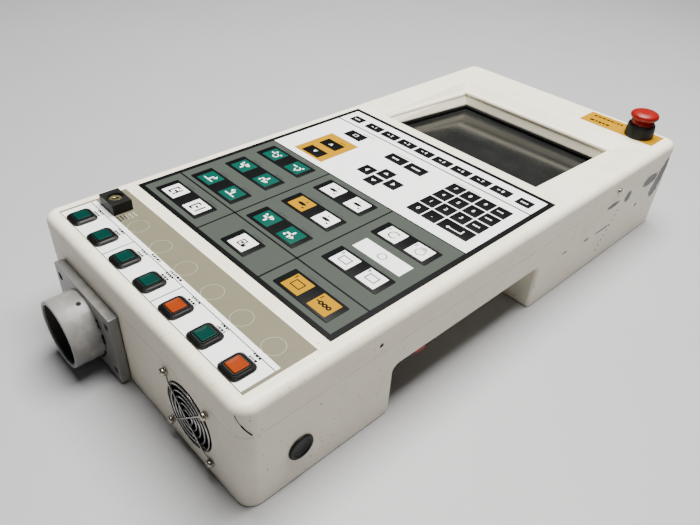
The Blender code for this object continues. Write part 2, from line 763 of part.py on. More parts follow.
def push_buttons():
    black = make_material("button_body", (0.03, 0.032, 0.034), 0.4)
    green = make_material("button_cap_green", (0.0, 0.16, 0.12), 0.3)
    orange = make_material("button_cap_orange", (0.75, 0.13, 0.01), 0.3)
    colours = (green, green, green, green, orange, green, orange)
    for index, (x, colour) in enumerate(zip(button_xs(), colours), 1):
        button_body(index, x, black)
        button_cap(index, x, colour)


# ---- Key switch ------------------------------------------------------------------------------


def key_block(base):
    """The square block of the key switch, its upper edges rounded."""
    width, length, height = KEY_BLOCK
    block = box("block", (-width / 2, -length / 2, 0), (width / 2, length / 2, height))
    bm = bmesh.new()
    bm.from_mesh(block.data)
    bpy.data.objects.remove(block, do_unlink=True)
    upper = [e for e in bm.edges if all(v.co.z > height / 2 for v in e.verts)]
    bmesh.ops.bevel(bm, geom=upper, offset=2 * GAP, segments=2, profile=0.5, affect="EDGES")
    bmesh.ops.translate(bm, verts=bm.verts, vec=(KEY_X, KEY_Y, base))
    return object_from(bm, "key_switch_body")


def key_switch():
    face = FITTING_Z + KEY_BLOCK[2] - KEY_RECESS_DEPTH
    barrel_low = face - KEY_BARREL_LENGTH
    bore_low = barrel_low - GAP
    neck_low = barrel_low - KEY_NECK_FLOOR
    up = (0, 0, 1)
    body = as_piece(key_block(FITTING_Z), make_material("key_switch_body", (0.025, 0.03, 0.03), 0.45))
    neck_length = FITTING_Z - neck_low + KEY_NECK_FLOOR / 2
    add_to(body, cylinder("key_neck", (KEY_X, KEY_Y, neck_low), up, neck_length, KEY_NECK_RADIUS))
    recess = cylinder("key_recess", (KEY_X, KEY_Y, face), up, KEY_BLOCK[2], KEY_RECESS_RADIUS)
    bore_length = KEY_BARREL_LENGTH + 2 * GAP
    bore = cylinder("key_bore", (KEY_X, KEY_Y, bore_low), up, bore_length, KEY_BARREL_RADIUS + GAP)
    cut(body, recess, bore)
    start = (0, 0, -KEY_BARREL_LENGTH)
    barrel = cylinder("key_barrel", start, up, KEY_BARREL_LENGTH, KEY_BARREL_RADIUS)
    barrel.location = (KEY_X, KEY_Y, face)
    as_piece(barrel, make_material("key_barrel", (0.55, 0.50, 0.30), 0.3, 1.0))
    half, near, far, depth = KEY_SLOT
    slot = box("key_slot", (-half, near, -depth), (half, far, depth))
    slot.location = barrel.location
    cut(barrel, slot)


# ---- Emergency stop --------------------------------------------------------------------------


def emergency_stop():
    place = at(ESTOP_X, ESTOP_Y, 0)
    black = make_material("estop_collar", (0.02, 0.02, 0.02), 0.45)
    red = make_material("estop_head", (0.62, 0.03, 0.02), 0.35)
    low_radius, high_radius = ESTOP_COLLAR_RADII
    base = SHEET_TOP_Z + GAP
    top = base + ESTOP_COLLAR_HEIGHT
    well = top - ESTOP_WELL_DEPTH
    bottom = PANEL_Z - ESTOP_THREAD_DROP
    bore = ESTOP_SHAFT_RADIUS + GAP
    collar = turned("estop_collar", [
        (bore, bottom), (bore, well), (ESTOP_WELL_RADIUS, well), (ESTOP_WELL_RADIUS, top),
        (high_radius, top), (low_radius, base), (ESTOP_THREAD_RADIUS, base),
        (ESTOP_THREAD_RADIUS, bottom), (bore, bottom),
    ], place)
    as_piece(collar, black)
    rest = well + ESTOP_TRAVEL + GAP
    neck_top = top + ESTOP_NECK_PROUD
    shaft_low = bottom + ESTOP_TRAVEL
    stem = turned("estop_stem", [
        (0.0, neck_top - base), (ESTOP_NECK_RADIUS, neck_top - base), (ESTOP_NECK_RADIUS, rest - base),
        (ESTOP_SHAFT_RADIUS, rest - base), (ESTOP_SHAFT_RADIUS, shaft_low - base), (0.0, shaft_low - base),
    ], at(ESTOP_X, ESTOP_Y, base))
    as_piece(stem, red)
    rim = ESTOP_HEAD_RADIUS
    crown = ESTOP_HEAD_HEIGHT
    head = turned("estop_head", [
        (0.0, crown), (rim * 0.46, crown * 0.96), (rim * 0.80, crown * 0.84), (rim * 0.93, crown * 0.70),
        (rim, crown * 0.55), (rim, crown * 0.33), (rim * 0.94, crown * 0.20),
        (ESTOP_NECK_RADIUS + GAP, 0.0), (0.0, 0.0),
    ], at(ESTOP_X, ESTOP_Y, neck_top + GAP), 40)
    as_piece(head, red)
    block_top = bottom - GAP
    block_low = block_top - 2 * ESTOP_BLOCK_HALF
    block = upright_box("estop_contact_block", ESTOP_X, ESTOP_Y, ESTOP_BLOCK_HALF, block_low, block_top)
    as_piece(block, make_material("estop_contact_block", (0.35, 0.33, 0.28), 0.5))


def estop_label():
    low = PANEL_Z + GAP
    left, right = LABEL_X
    near, far = LABEL_Y
    label = box("estop_label", (left, near, low), (right, far, SHEET_TOP_Z))
    as_piece(label, make_material("estop_label", (0.90, 0.55, 0.02), 0.4))
    start = (ESTOP_X, ESTOP_Y, low - WALL)
    hole = cylinder("label_hole", start, (0, 0, 1), 2 * WALL, ESTOP_THREAD_RADIUS + GAP)
    cut(label, hole)


# ---- Cable flange ----------------------------------------------------------------------------


def grid_places(x, z, pitch_x, pitch_z):
    return [(x + sx * pitch_x / 2, z + sz * pitch_z / 2) for sx in (-1, 1) for sz in (-1, 1)]


def flange_hole_places():
    return grid_places(FLANGE_X, FLANGE_Z, *FLANGE_HOLE_PITCH)


def fan_hole_places():
    return grid_places(FAN_X, FAN_Z, FAN_HOLE_PITCH, FAN_HOLE_PITCH)


def screw_profile(size):
    head_radius, head_height, shank_radius, shank_length = size
    return [
        (0.0, head_height), (head_radius * 0.55, head_height), (head_radius * 0.9, head_height * 0.72),
        (head_radius, head_height * 0.3), (head_radius, 0.0), (shank_radius, 0.0),
        (shank_radius, -shank_length), (0.0, -shank_length),
    ]


def machine_screw(name, seat, size, look):
    """A screw whose head sits on seat, with its shank running into the case (+Y)."""
    as_piece(turned(name, screw_profile(size), facing_near(*seat), 16), look)


def holes_facing_near(name, places, start_y, length, radius):
    """Round cutters that run from start_y towards the near end."""
    pieces = [cylinder("hole", (x, start_y, z), (0, -1, 0), length, radius, segments=16) for x, z in places]
    return joined(name, pieces)


def flange_plate(name, outline, bore, back, depth, look):
    """A plate on the near end with a bore for the cable and clearance holes for four screws."""
    made = plate(name, [outline, bore], depth, facing_near(FLANGE_X, back, FLANGE_Z))
    as_piece(made, look)
    reach = 2 * depth + FLANGE_SIZE[1]
    holes = holes_facing_near(name + "_holes", flange_hole_places(), back + depth, reach, FLANGE_HOLE_RADIUS)
    cut(made, holes)
    return made


def cable_flange():
    width, depth, height = FLANGE_SIZE
    bore = arc((0, 0), TUBE_BORE, 0, 351, 39)
    back = CASE_NEAR_Y - GAP
    inset = 2 * GASKET_INSET
    outline = rounded_rectangle(width - inset, height - inset, GASKET_INSET, 1)
    rubber = make_material("flange_gasket", (0.02, 0.02, 0.02), 0.8)
    flange_plate("flange_gasket", outline, bore, back, GASKET_THICKNESS, rubber)
    back -= GASKET_THICKNESS + GAP
    front = back - depth
    seat_y = front + TUBE_SEAT
    outline = rounded_rectangle(width, height, 2 * GASKET_INSET, 2)
    paint = make_material("cable_flange", (0.42, 0.42, 0.42), 0.5)
    flange = flange_plate("cable_flange", outline, bore, back, depth, paint)
    seat_start = (FLANGE_X, seat_y, FLANGE_Z)
    seat = cylinder("tube_seat", seat_start, (0, -1, 0), depth, TUBE_RADIUS + GAP, segments=48)
    sink = front + FLANGE_SINK
    counterbores = holes_facing_near("counterbores", flange_hole_places(), sink, depth, FLANGE_SINK_RADIUS)
    cut(flange, seat, counterbores)
    steel = make_material("flange_screw", (0.25, 0.25, 0.26), 0.35, 1.0)
    for index, (x, z) in enumerate(flange_hole_places(), 1):
        machine_screw("flange_screw_{}".format(index), (x, sink - GAP, z), FLANGE_SCREW, steel)
    cable_tube(seat_y - GAP)


def cable_tube(back):
    """The arm's tube, seated in the flange plate, with a set-screw hole in its upper side."""
    outlines = [arc((0, 0), radius, 0, 352.5, 47) for radius in (TUBE_RADIUS, TUBE_BORE)]
    tube = plate("cable_tube", outlines, back - TUBE_END_Y, facing_near(FLANGE_X, back, FLANGE_Z))
    as_piece(tube, make_material("cable_tube", (0.45, 0.44, 0.44), 0.45))
    start = (FLANGE_X + SET_SCREW_X, back - SET_SCREW_BACK, FLANGE_Z + TUBE_RADIUS / 2)
    cut(tube, cylinder("set_screw_hole", start, (0, 0, 1), TUBE_RADIUS, SET_SCREW_RADIUS, segments=12))


# ---- Fan -------------------------------------------------------------------------------------


def fan_frame():
    """Square frame with its bore, and the motor's base on crossed struts at the back of it."""
    half = FAN_SIDE / 2
    front = CASE_NEAR_Y + WALL + GAP
    back = front + FAN_DEPTH
    along = (0, 1, 0)
    outline = rounded_rectangle(FAN_SIDE, FAN_SIDE, FAN_CORNER, 2)
    frame = plate("fan_frame", [outline], FAN_DEPTH, facing_near(FAN_X, back, FAN_Z))
    as_piece(frame, make_material("fan_frame", (0.02, 0.02, 0.02), 0.5))
    start = (FAN_X, front - FAN_DEPTH, FAN_Z)
    cut(frame, cylinder("fan_bore", start, along, 3 * FAN_DEPTH, FAN_BORE_RADIUS, segments=40))
    reach = 2 * FAN_DEPTH
    cut(frame, holes_facing_near("fan_screw_holes", fan_hole_places(), back + GAP, reach, FAN_HOLE_RADIUS))
    base_y = back - FAN_BASE_HEIGHT - GAP
    base = cylinder("fan_motor_base", (FAN_X, base_y, FAN_Z), along, FAN_BASE_HEIGHT, FAN_BASE_RADIUS)
    reach = half - GUARD_WIRE
    low, high = base_y + GAP, back - GUARD_WIRE
    corner = Vector((FAN_X + reach, high, FAN_Z + FAN_STRUT))
    crosswise = box("fan_strut_x", (FAN_X - reach, low, FAN_Z - FAN_STRUT), corner)
    corner = Vector((FAN_X + FAN_STRUT, high - GAP, FAN_Z + reach))
    upright = box("fan_strut_z", (FAN_X - FAN_STRUT, low + GAP, FAN_Z - reach), corner)
    add_to(frame, base, crosswise, upright)
    return front, base_y


def fan_rotor(front, base_y):
    """Hub and blades, turning about the fan's axis; the origin is on that axis."""
    start = front + GUARD_WIRE
    depth = base_y - GAP - start
    rotor = cylinder("fan_rotor", (0, 0, 0), (0, 1, 0), depth, FAN_HUB_RADIUS, segments=28)
    rotor.location = (FAN_X, start, FAN_Z)
    as_piece(rotor, make_material("fan_rotor", (0.03, 0.03, 0.03), 0.4))
    thick, wide = FAN_BLADE_HALF
    pitch = Matrix.Rotation(FAN_BLADE_PITCH, 4, "X")
    for index in range(FAN_BLADES):
        turn = Matrix.Rotation(math.tau * index / FAN_BLADES, 4, "Y")
        low = (FAN_HUB_RADIUS * 0.85, -thick, -wide)
        blade = box("fan_blade_{}".format(index), low, (FAN_BLADE_RADIUS, thick, wide))
        blade.data.transform(turn @ at(0, depth / 2, 0) @ pitch)
        blade.location = rotor.location
        add_to(rotor, blade)


def ring_body(name, radius, y, wire, x=FAN_X, z=FAN_Z, segments=32):
    """A closed wire ring facing the near end. Its turn keeps its corners off the crossed wires."""
    section = arc((0, 0), wire, 20, 320, 5)
    rings = []
    for i in range(segments):
        angle = math.tau * (i + 0.37) / segments
        rings.append([
            (x + (radius + across) * math.cos(angle), y + along, z + (radius + across) * math.sin(angle))
            for across, along in section
        ])
    bm = bmesh.new()
    loops = [[bm.verts.new(point) for point in ring] for ring in rings]
    for i in range(segments):
        here = loops[i]
        there = loops[(i + 1) % segments]
        for j in range(len(section)):
            k = (j + 1) % len(section)
            bm.faces.new((here[j], here[k], there[k], there[j]))
    bmesh.ops.recalc_face_normals(bm, faces=bm.faces)
    return object_from(bm, name)


def guard_arm(name, diagonal, arm_y, wire):
    reach = FAN_HOLE_PITCH / math.sqrt(2) - GUARD_EYE_RADIUS * 0.8
    start = Vector((FAN_X, arm_y, FAN_Z)) - diagonal * reach
    return cylinder(name, start, diagonal, 2 * reach, wire, segments=8)


def fan_guard():
    """Crossed wires from eye to eye, with the round wires welded in front of them."""
    arm_y = CASE_NEAR_Y - GAP - GUARD_WIRE
    guard = guard_arm("fan_guard", Vector((1, 0, 1)).normalized(), arm_y, GUARD_WIRE)
    as_piece(guard, make_material("fan_guard", (0.75, 0.75, 0.76), 0.15, 1.0), 80)
    add_to(guard, guard_arm("guard_arm", Vector((1, 0, -1)).normalized(), arm_y, GUARD_WIRE * 1.02))
    ring_y = arm_y - 1.4 * GUARD_WIRE
    for index, radius in enumerate(GUARD_RINGS):
        add_to(guard, ring_body("guard_ring_{}".format(index), radius, ring_y, GUARD_WIRE))
    for index, (x, z) in enumerate(fan_hole_places()):
        name = "guard_eye_{}".format(index)
        add_to(guard, ring_body(name, GUARD_EYE_RADIUS, arm_y, GUARD_WIRE * 0.98, x, z, 12))
    return arm_y - GUARD_WIRE - GAP


def fan_screws(seat_y):
    look = make_material("fan_screw", (0.72, 0.68, 0.58), 0.2, 1.0)
    for index, (x, z) in enumerate(fan_hole_places(), 1):
        machine_screw("fan_screw_{}".format(index), (x, seat_y, z), FAN_SCREW, look)


def fan_group():
    front, base_y = fan_frame()
    fan_rotor(front, base_y)
    fan_screws(fan_guard())


# ---- Side fittings ---------------------------------------------------------------------------


def side_face_x(z):
    """Half width of the drafted side wall at a height."""
    return CASE_WIDTH / 2 - SIDE_DRAFT * (1 - z / SEAM_Z)


def side_plug():
    look = make_material("side_plug", (0.02, 0.02, 0.022), 0.5)
    seat = side_face_x(PLUG_Z + PLUG_RADIUS) + GAP
    place = at(seat, PLUG_Y, PLUG_Z) @ Matrix.Rotation(math.radians(90), 4, "Y")
    rim = PLUG_RIM_HEIGHT
    barrel = PLUG_HOLE_RADIUS - GAP
    plug = turned("side_plug", [
        (0.0, rim * 0.4), (PLUG_RADIUS * 0.71, rim * 0.4), (PLUG_RADIUS * 0.77, rim),
        (PLUG_RADIUS * 0.93, rim), (PLUG_RADIUS, rim / 2), (PLUG_RADIUS, 0.0), (barrel, 0.0),
        (barrel, -2 * WALL), (0.0, -2 * WALL),
    ], place)
    as_piece(plug, look)


def side_screws():
    """Pan-head case screws; the near one on the right is missing and shows its hole."""
    look = make_material("side_screw", (0.70, 0.70, 0.68), 0.25, 1.0)
    near, far = SIDE_SCREW_YS
    for index, (side, y) in enumerate(((-1, near), (-1, far), (1, far)), 1):
        seat = at(side * (CASE_WIDTH / 2 + GAP), y, SIDE_SCREW_Z)
        place = seat @ Matrix.Rotation(side * math.radians(90), 4, "Y")
        as_piece(turned("side_screw_{}".format(index), screw_profile(SIDE_SCREW), place, 16), look)


def grip_strip():
    """Black strip under the right edge of the arch, with a red marker let into it."""
    low = ARCH_Z - GRIP_DROP
    high = ARCH_Z - GAP
    left, right = GRIP_X
    inner = right - MARKER_WIDTH
    strip = box("grip_strip", (left, GRIP_Y[0], low), (right, GRIP_Y[1], high))
    as_piece(strip, make_material("grip_strip", (0.015, 0.015, 0.015), 0.7))
    near, far = MARKER_Y
    reach = MARKER_WIDTH
    cut(strip, box("marker_notch", (inner, near, low - reach), (right + reach, far, high + reach)))
    marker = box("grip_marker", (inner + GAP, near + GAP, low - GAP), (right + GAP, far - GAP, high))
    as_piece(marker, make_material("grip_marker", (0.45, 0.02, 0.02), 0.5))


# ---- Inside ----------------------------------------------------------------------------------


def circuit_board(name, corners, chips, look):
    """A board with its taller components standing on it."""
    board = as_piece(box(name, *corners), look)
    top = corners[1][2]
    for index, (x, y, width, length, height) in enumerate(chips):
        far_corner = (x + width, y + length, top + height)
        add_to(board, box("{}_chip_{}".format(name, index), (x, y, top - CHIP_SINK), far_corner))


def terminal_block():
    """A row of open terminals on the floor of the near block."""
    low, high = TERMINALS
    block = box("terminal_block", low, high)
    as_piece(block, make_material("terminal_block", (0.05, 0.05, 0.05), 0.5))
    width, length, depth = TERMINAL_SLOT
    first = low[0] + (TERMINAL_PITCH - width)
    near = (low[1] + high[1] - length) / 2
    slots = []
    for i in range(TERMINAL_COUNT):
        x = first + TERMINAL_PITCH * i
        slots.append(box("slot", (x, near, high[2] - depth), (x + width, near + length, high[2] + depth)))
    cut(block, joined("terminal_slots", slots))


def inside_parts():
    green = make_material("main_board", (0.02, 0.16, 0.06), 0.45)
    circuit_board("main_board", MAIN_BOARD, MAIN_CHIPS, green)
    circuit_board("keypad_board", KEYPAD_BOARD, KEYPAD_CHIPS, green)
    circuit_board("backlight_board", BACKLIGHT_BOARD, BACKLIGHT_CHIPS, green)
    as_piece(box("power_supply", *SUPPLY), make_material("power_supply", (0.60, 0.61, 0.62), 0.4, 1.0))
    terminal_block()


front_shell()
rear_shell()
case_seal()
screen_group()
printed_sheets()
push_buttons()
key_switch()
emergency_stop()
estop_label()
cable_flange()
fan_group()
side_plug()
side_screws()
grip_strip()
inside_parts()
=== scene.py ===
"""Looks of the pendant control station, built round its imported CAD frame.

World axes are the frame's: +X to the operator's right, +Y towards the screen end, +Z out of the
panel. Sizes are in metres, and the printed sheets are laid out in millimetres from their own
near left corners.
"""

import math
import random

import bmesh
import bpy
from mathutils import Matrix, Vector


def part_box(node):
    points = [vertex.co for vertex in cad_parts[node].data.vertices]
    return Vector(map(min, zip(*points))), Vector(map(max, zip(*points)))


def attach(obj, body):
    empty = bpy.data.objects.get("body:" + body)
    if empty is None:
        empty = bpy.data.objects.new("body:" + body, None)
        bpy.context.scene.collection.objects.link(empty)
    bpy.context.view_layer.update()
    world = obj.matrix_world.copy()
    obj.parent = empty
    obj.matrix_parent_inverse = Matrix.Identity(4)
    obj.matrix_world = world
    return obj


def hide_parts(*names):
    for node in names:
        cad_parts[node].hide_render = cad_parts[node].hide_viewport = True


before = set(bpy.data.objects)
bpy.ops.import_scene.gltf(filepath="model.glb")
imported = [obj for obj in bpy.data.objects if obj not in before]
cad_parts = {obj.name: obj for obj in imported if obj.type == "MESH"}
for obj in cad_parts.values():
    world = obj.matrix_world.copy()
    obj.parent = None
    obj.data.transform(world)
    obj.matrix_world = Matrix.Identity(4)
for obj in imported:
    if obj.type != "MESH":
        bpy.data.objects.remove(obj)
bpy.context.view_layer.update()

MM = 0.001
LAYER = 0.00004
CASE = "case"

SHEET_LOW, SHEET_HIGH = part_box("membrane_keypad")
OVERLAY_LOW, OVERLAY_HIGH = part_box("control_overlay")
LABEL_LOW, LABEL_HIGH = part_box("estop_label")
PANEL_LOW, PANEL_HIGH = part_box("front_shell")
PRINT_Z = SHEET_HIGH.z
BUTTON_COUNT = 7
ORANGE_BUTTONS = (5, 7)


# ---- Materials ----


class Look:
    """A node-based material under construction, with its Principled shader in hand."""

    def __init__(self, name, colour, roughness, metallic=0.0):
        self.material = bpy.data.materials.new(name)
        self.material.use_nodes = True
        self.tree = self.material.node_tree
        self.shader = self.tree.nodes["Principled BSDF"]
        self.place = self.tree.nodes.new("ShaderNodeTexCoord").outputs["Object"]
        self.set(**{"Base Color": (*colour, 1.0), "Roughness": roughness, "Metallic": metallic})
        self.colour = None
        self.plain = colour
        self.normal = None

    def set(self, **values):
        for key, value in values.items():
            self.shader.inputs[key].default_value = value
        return self

    def node(self, kind, inputs=None, **settings):
        made = self.tree.nodes.new("ShaderNode" + kind)
        for key, value in settings.items():
            setattr(made, key, value)
        for key, value in (inputs or {}).items():
            if isinstance(value, bpy.types.NodeSocket):
                self.tree.links.new(value, made.inputs[key])
            else:
                made.inputs[key].default_value = value
        return made

    def noise(self, scale, detail=3.0, rough=0.55, stretch=None):
        place = self.place
        if stretch:
            place = self.node("Mapping", {"Vector": place, "Scale": stretch}).outputs["Vector"]
        inputs = {"Vector": place, "Scale": scale, "Detail": detail, "Roughness": rough}
        return self.node("TexNoise", inputs).outputs["Fac"]

    def band(self, value, low, high, out_low=0.0, out_high=1.0):
        inputs = {"Value": value, "From Min": low, "From Max": high, "To Min": out_low, "To Max": out_high}
        return self.node("MapRange", inputs).outputs["Result"]

    def math(self, operation, first, second):
        return self.node("Math", {0: first, 1: second}, operation=operation).outputs["Value"]

    def tint(self, mask, colour):
        """Blends the colour so far towards another one where the mask is."""
        mix = self.node("Mix", {"Factor": mask}, data_type="RGBA")
        if self.colour is None:
            mix.inputs["A"].default_value = (*self.plain, 1.0)
        else:
            self.tree.links.new(self.colour, mix.inputs["A"])
        mix.inputs["B"].default_value = (*colour, 1.0)
        self.colour = mix.outputs["Result"]
        self.tree.links.new(self.colour, self.shader.inputs["Base Color"])
        return self

    def stain(self, colour, scale, detail, rough, reach, amount, stretch=None):
        """Patches of another colour, growing where a noise rises through reach."""
        mask = self.band(self.noise(scale, detail, rough, stretch), *reach, 0.0, amount)
        return self.tint(mask, colour)

    def gloss(self, mask, low, high):
        """Roughness running from low to high with the mask."""
        self.tree.links.new(self.band(mask, 0.0, 1.0, low, high), self.shader.inputs["Roughness"])
        return self

    def bump(self, height, strength, distance):
        inputs = {"Height": height, "Strength": strength, "Distance": distance}
        if self.normal is not None:
            inputs["Normal"] = self.normal
        self.normal = self.node("Bump", inputs).outputs["Normal"]
        self.tree.links.new(self.normal, self.shader.inputs["Normal"])
        return self

    def near(self, centre, size, soft=0.35):
        """A mask round a point, as an ellipsoid of the given half sizes."""
        inverse = tuple(1 / s for s in size)
        moved = self.node("VectorMath", {0: self.place, 1: tuple(centre)}, operation="SUBTRACT")
        scaled = self.node("VectorMath", {0: moved.outputs["Vector"], 1: inverse}, operation="MULTIPLY")
        length = self.node("VectorMath", {0: scaled.outputs["Vector"]}, operation="LENGTH")
        return self.band(length.outputs["Value"], 1.0 - soft, 1.0 + soft, 1.0, 0.0)


SPECK_SCALE = 430.0
SPECK_SHADE = 0.45
SPECK_AMOUNT = 1.6


def shade(colour, *factors):
    """A colour times one factor, or times a factor for each channel."""
    if len(factors) == 1:
        factors *= len(colour)
    return tuple(c * factor for c, factor in zip(colour, factors))


def grubby(look, dirt, amount, scale):
    """Fine specks and a faint uneven film of dirt, as on a used machine."""
    look.stain(dirt, scale, 5.0, 0.65, (0.50, 0.78), amount)
    look.stain(shade(dirt, SPECK_SHADE), SPECK_SCALE, 2.0, 0.5, (0.83, 0.85), amount * SPECK_AMOUNT)


def case_paint(name, colour):
    """Cream paint over a grey primer: orange peel, yellowing, grime, and chips on the far right."""
    look = Look(name, colour, 0.42)
    look.set(**{"Coat Weight": 0.06, "Coat Roughness": 0.3})
    look.stain(shade(colour, 0.97, 0.945, 0.86), 5.5, 3.0, 0.55, (0.40, 0.68), 0.55)
    grubby(look, (0.36, 0.33, 0.27), 0.22, 24.0)
    look.stain((0.50, 0.48, 0.43), 95.0, 4.0, 0.6, (0.70, 0.76), 0.16, (1.0, 0.16, 1.6))
    chips(look)
    look.gloss(look.noise(70.0, 4.0), 0.34, 0.56)
    look.bump(look.noise(780.0, 2.0), 0.10, 0.0004)
    return look.material


CHIP_SPOTS = (
    ((0.168, 0.3430, 0.0880), (0.030, 0.0075, 0.0130), 0.45),
    ((0.168, 0.3385, 0.0820), (0.020, 0.0090, 0.0120), 0.45),
    ((0.168, 0.3350, 0.0718), (0.020, 0.0105, 0.0110), 0.45),
    ((0.168, 0.3290, 0.0600), (0.015, 0.0105, 0.0110), 0.45),
    ((0.168, 0.3070, 0.0815), (0.015, 0.0190, 0.0075), 0.50),
    ((0.168, 0.250, 0.079), (0.010, 0.0075, 0.0085), 0.52),
    ((0.168, 0.213, 0.080), (0.010, 0.0150, 0.0035), 0.56),
    ((0.168, 0.205, 0.049), (0.010, 0.0170, 0.0014), 0.42),
    ((0.168, 0.167, 0.050), (0.010, 0.0060, 0.0016), 0.50),
    ((0.168, 0.118, 0.054), (0.010, 0.0050, 0.0013), 0.50),
    ((0.168, 0.285, 0.053), (0.010, 0.0030, 0.0030), 0.55),
)
CHIP_SOFTNESS = 0.30
CHIP_EDGE = 0.08
CHIP_DOTS = 9
CHIP_DOTS_FROM = Vector((0.168, 0.232, 0.066))
CHIP_DOTS_TO = Vector((0.168, 0.205, 0.018))
CHIP_DOT_SIZE = (0.010, 0.0013, 0.0016)
PRIMER = (0.040, 0.042, 0.046)


def chips(look):
    """Bare patches where the paint has flaked, with ragged edges, and a dotted scrape."""
    ragged = look.noise(260.0, 4.0, 0.7)
    masks = []
    for centre, size, level in CHIP_SPOTS:
        inside = look.near(centre, size, CHIP_SOFTNESS)
        edge = look.math("ADD", inside, look.band(ragged, 0.3, 0.7, -0.5, 0.5))
        masks.append(look.band(edge, level, level + CHIP_EDGE))
    for i in range(CHIP_DOTS):
        spot = CHIP_DOTS_FROM.lerp(CHIP_DOTS_TO, i / (CHIP_DOTS - 1))
        masks.append(look.near(spot, CHIP_DOT_SIZE, 0.25))
    total = masks[0]
    for mask in masks[1:]:
        total = look.math("MAXIMUM", total, mask)
    look.tint(total, PRIMER)
    look.bump(total, 0.5, -0.0003)


def printed(name, colour, roughness=0.38, dirt=0.16, shine=0.35):
    """Printed polyester film: a very fine texture, some handling marks."""
    look = Look(name, colour, roughness)
    look.set(**{"Specular IOR Level": shine})
    grubby(look, shade(colour, 0.55), dirt, 60.0)
    look.gloss(look.noise(45.0, 4.0), roughness - 0.06, roughness + 0.12)
    look.bump(look.noise(3200.0, 2.0), 0.12, 0.0001)
    return look.material


def moulded(name, colour, roughness, grain=1500.0, dust=0.25, coat=0.0):
    """Moulded plastic with spark-eroded grain and a little dust."""
    look = Look(name, colour, roughness)
    look.set(**{"Specular IOR Level": 0.22, "Coat Weight": coat, "Coat Roughness": 0.12})
    dusty = tuple(0.75 * c + 0.06 for c in colour)
    look.stain(dusty, 110.0, 5.0, 0.7, (0.46, 0.80), dust)
    look.gloss(look.noise(85.0, 3.0), roughness - 0.08, roughness + 0.14)
    look.bump(look.noise(grain, 2.0), 0.16, 0.0002)
    return look.material


def lens_plastic(name, colour, glow):
    """Translucent lens of a lit button: glossy, with a scuffed top."""
    look = Look(name, colour, 0.34)
    look.set(**{"Specular IOR Level": 0.06})
    look.stain(glow, 420.0, 5.0, 0.7, (0.58, 0.72), 0.30)
    look.gloss(look.noise(300.0, 4.0), 0.26, 0.50)
    look.bump(look.noise(900.0, 3.0), 0.08, 0.0002)
    return look.material


def metal(name, colour, roughness, brushed=None, tarnish=None):
    """Bare or plated metal, brushed along an axis or tarnished in patches."""
    look = Look(name, colour, roughness, 1.0)
    if tarnish:
        look.stain(tarnish, 260.0, 4.0, 0.65, (0.50, 0.70), 0.7)
    look.gloss(look.noise(150.0, 4.0), max(roughness - 0.06, 0.04), roughness + 0.16)
    if brushed:
        look.bump(look.noise(900.0, 2.0, 0.5, brushed), 0.10, 0.0002)
    return look.material


def grey_enamel(name, colour):
    """Grey enamel of the arm fittings: rubbed, with rusty stains and dark scratches."""
    look = Look(name, colour, 0.42)
    look.set(**{"Coat Weight": 0.15, "Coat Roughness": 0.2})
    look.stain((0.46, 0.42, 0.38), 32.0, 4.0, 0.6, (0.50, 0.66), 0.40)
    look.stain((0.23, 0.19, 0.15), 75.0, 5.0, 0.7, (0.63, 0.70), 0.40)
    look.stain((0.12, 0.11, 0.10), 240.0, 3.0, 0.6, (0.685, 0.71), 0.5, (0.25, 1.0, 1.3))
    look.gloss(look.noise(60.0, 4.0), 0.28, 0.52)
    look.bump(look.noise(520.0, 3.0), 0.14, 0.0004)
    return look.material


def screen_glass():
    """Dark window of the display: glossy, with a film of dust and small wipe marks."""
    look = Look("look_screen_glass", (0.0095, 0.0100, 0.0095), 0.09)
    look.set(**{"Specular IOR Level": 0.22})
    look.stain((0.045, 0.046, 0.043), 26.0, 5.0, 0.6, (0.42, 0.75), 0.16)
    look.gloss(look.noise(18.0, 5.0, 0.7), 0.07, 0.20)
    return look.material


def rubber(name, colour):
    """Matt rubber or sealant, greyed in places."""
    look = Look(name, colour, 0.62)
    look.set(**{"Specular IOR Level": 0.2})
    look.stain((0.025, 0.024, 0.022), 130.0, 5.0, 0.7, (0.5, 0.75), 0.3)
    look.bump(look.noise(1100.0, 3.0), 0.25, 0.0003)
    return look.material


def floor_look():
    look = Look("look_floor", (0.34, 0.34, 0.352), 0.6)
    look.stain((0.37, 0.365, 0.37), 2.2, 3.0, 0.55, (0.35, 0.7), 0.5)
    look.gloss(look.noise(9.0, 3.0), 0.48, 0.62)
    return look.material


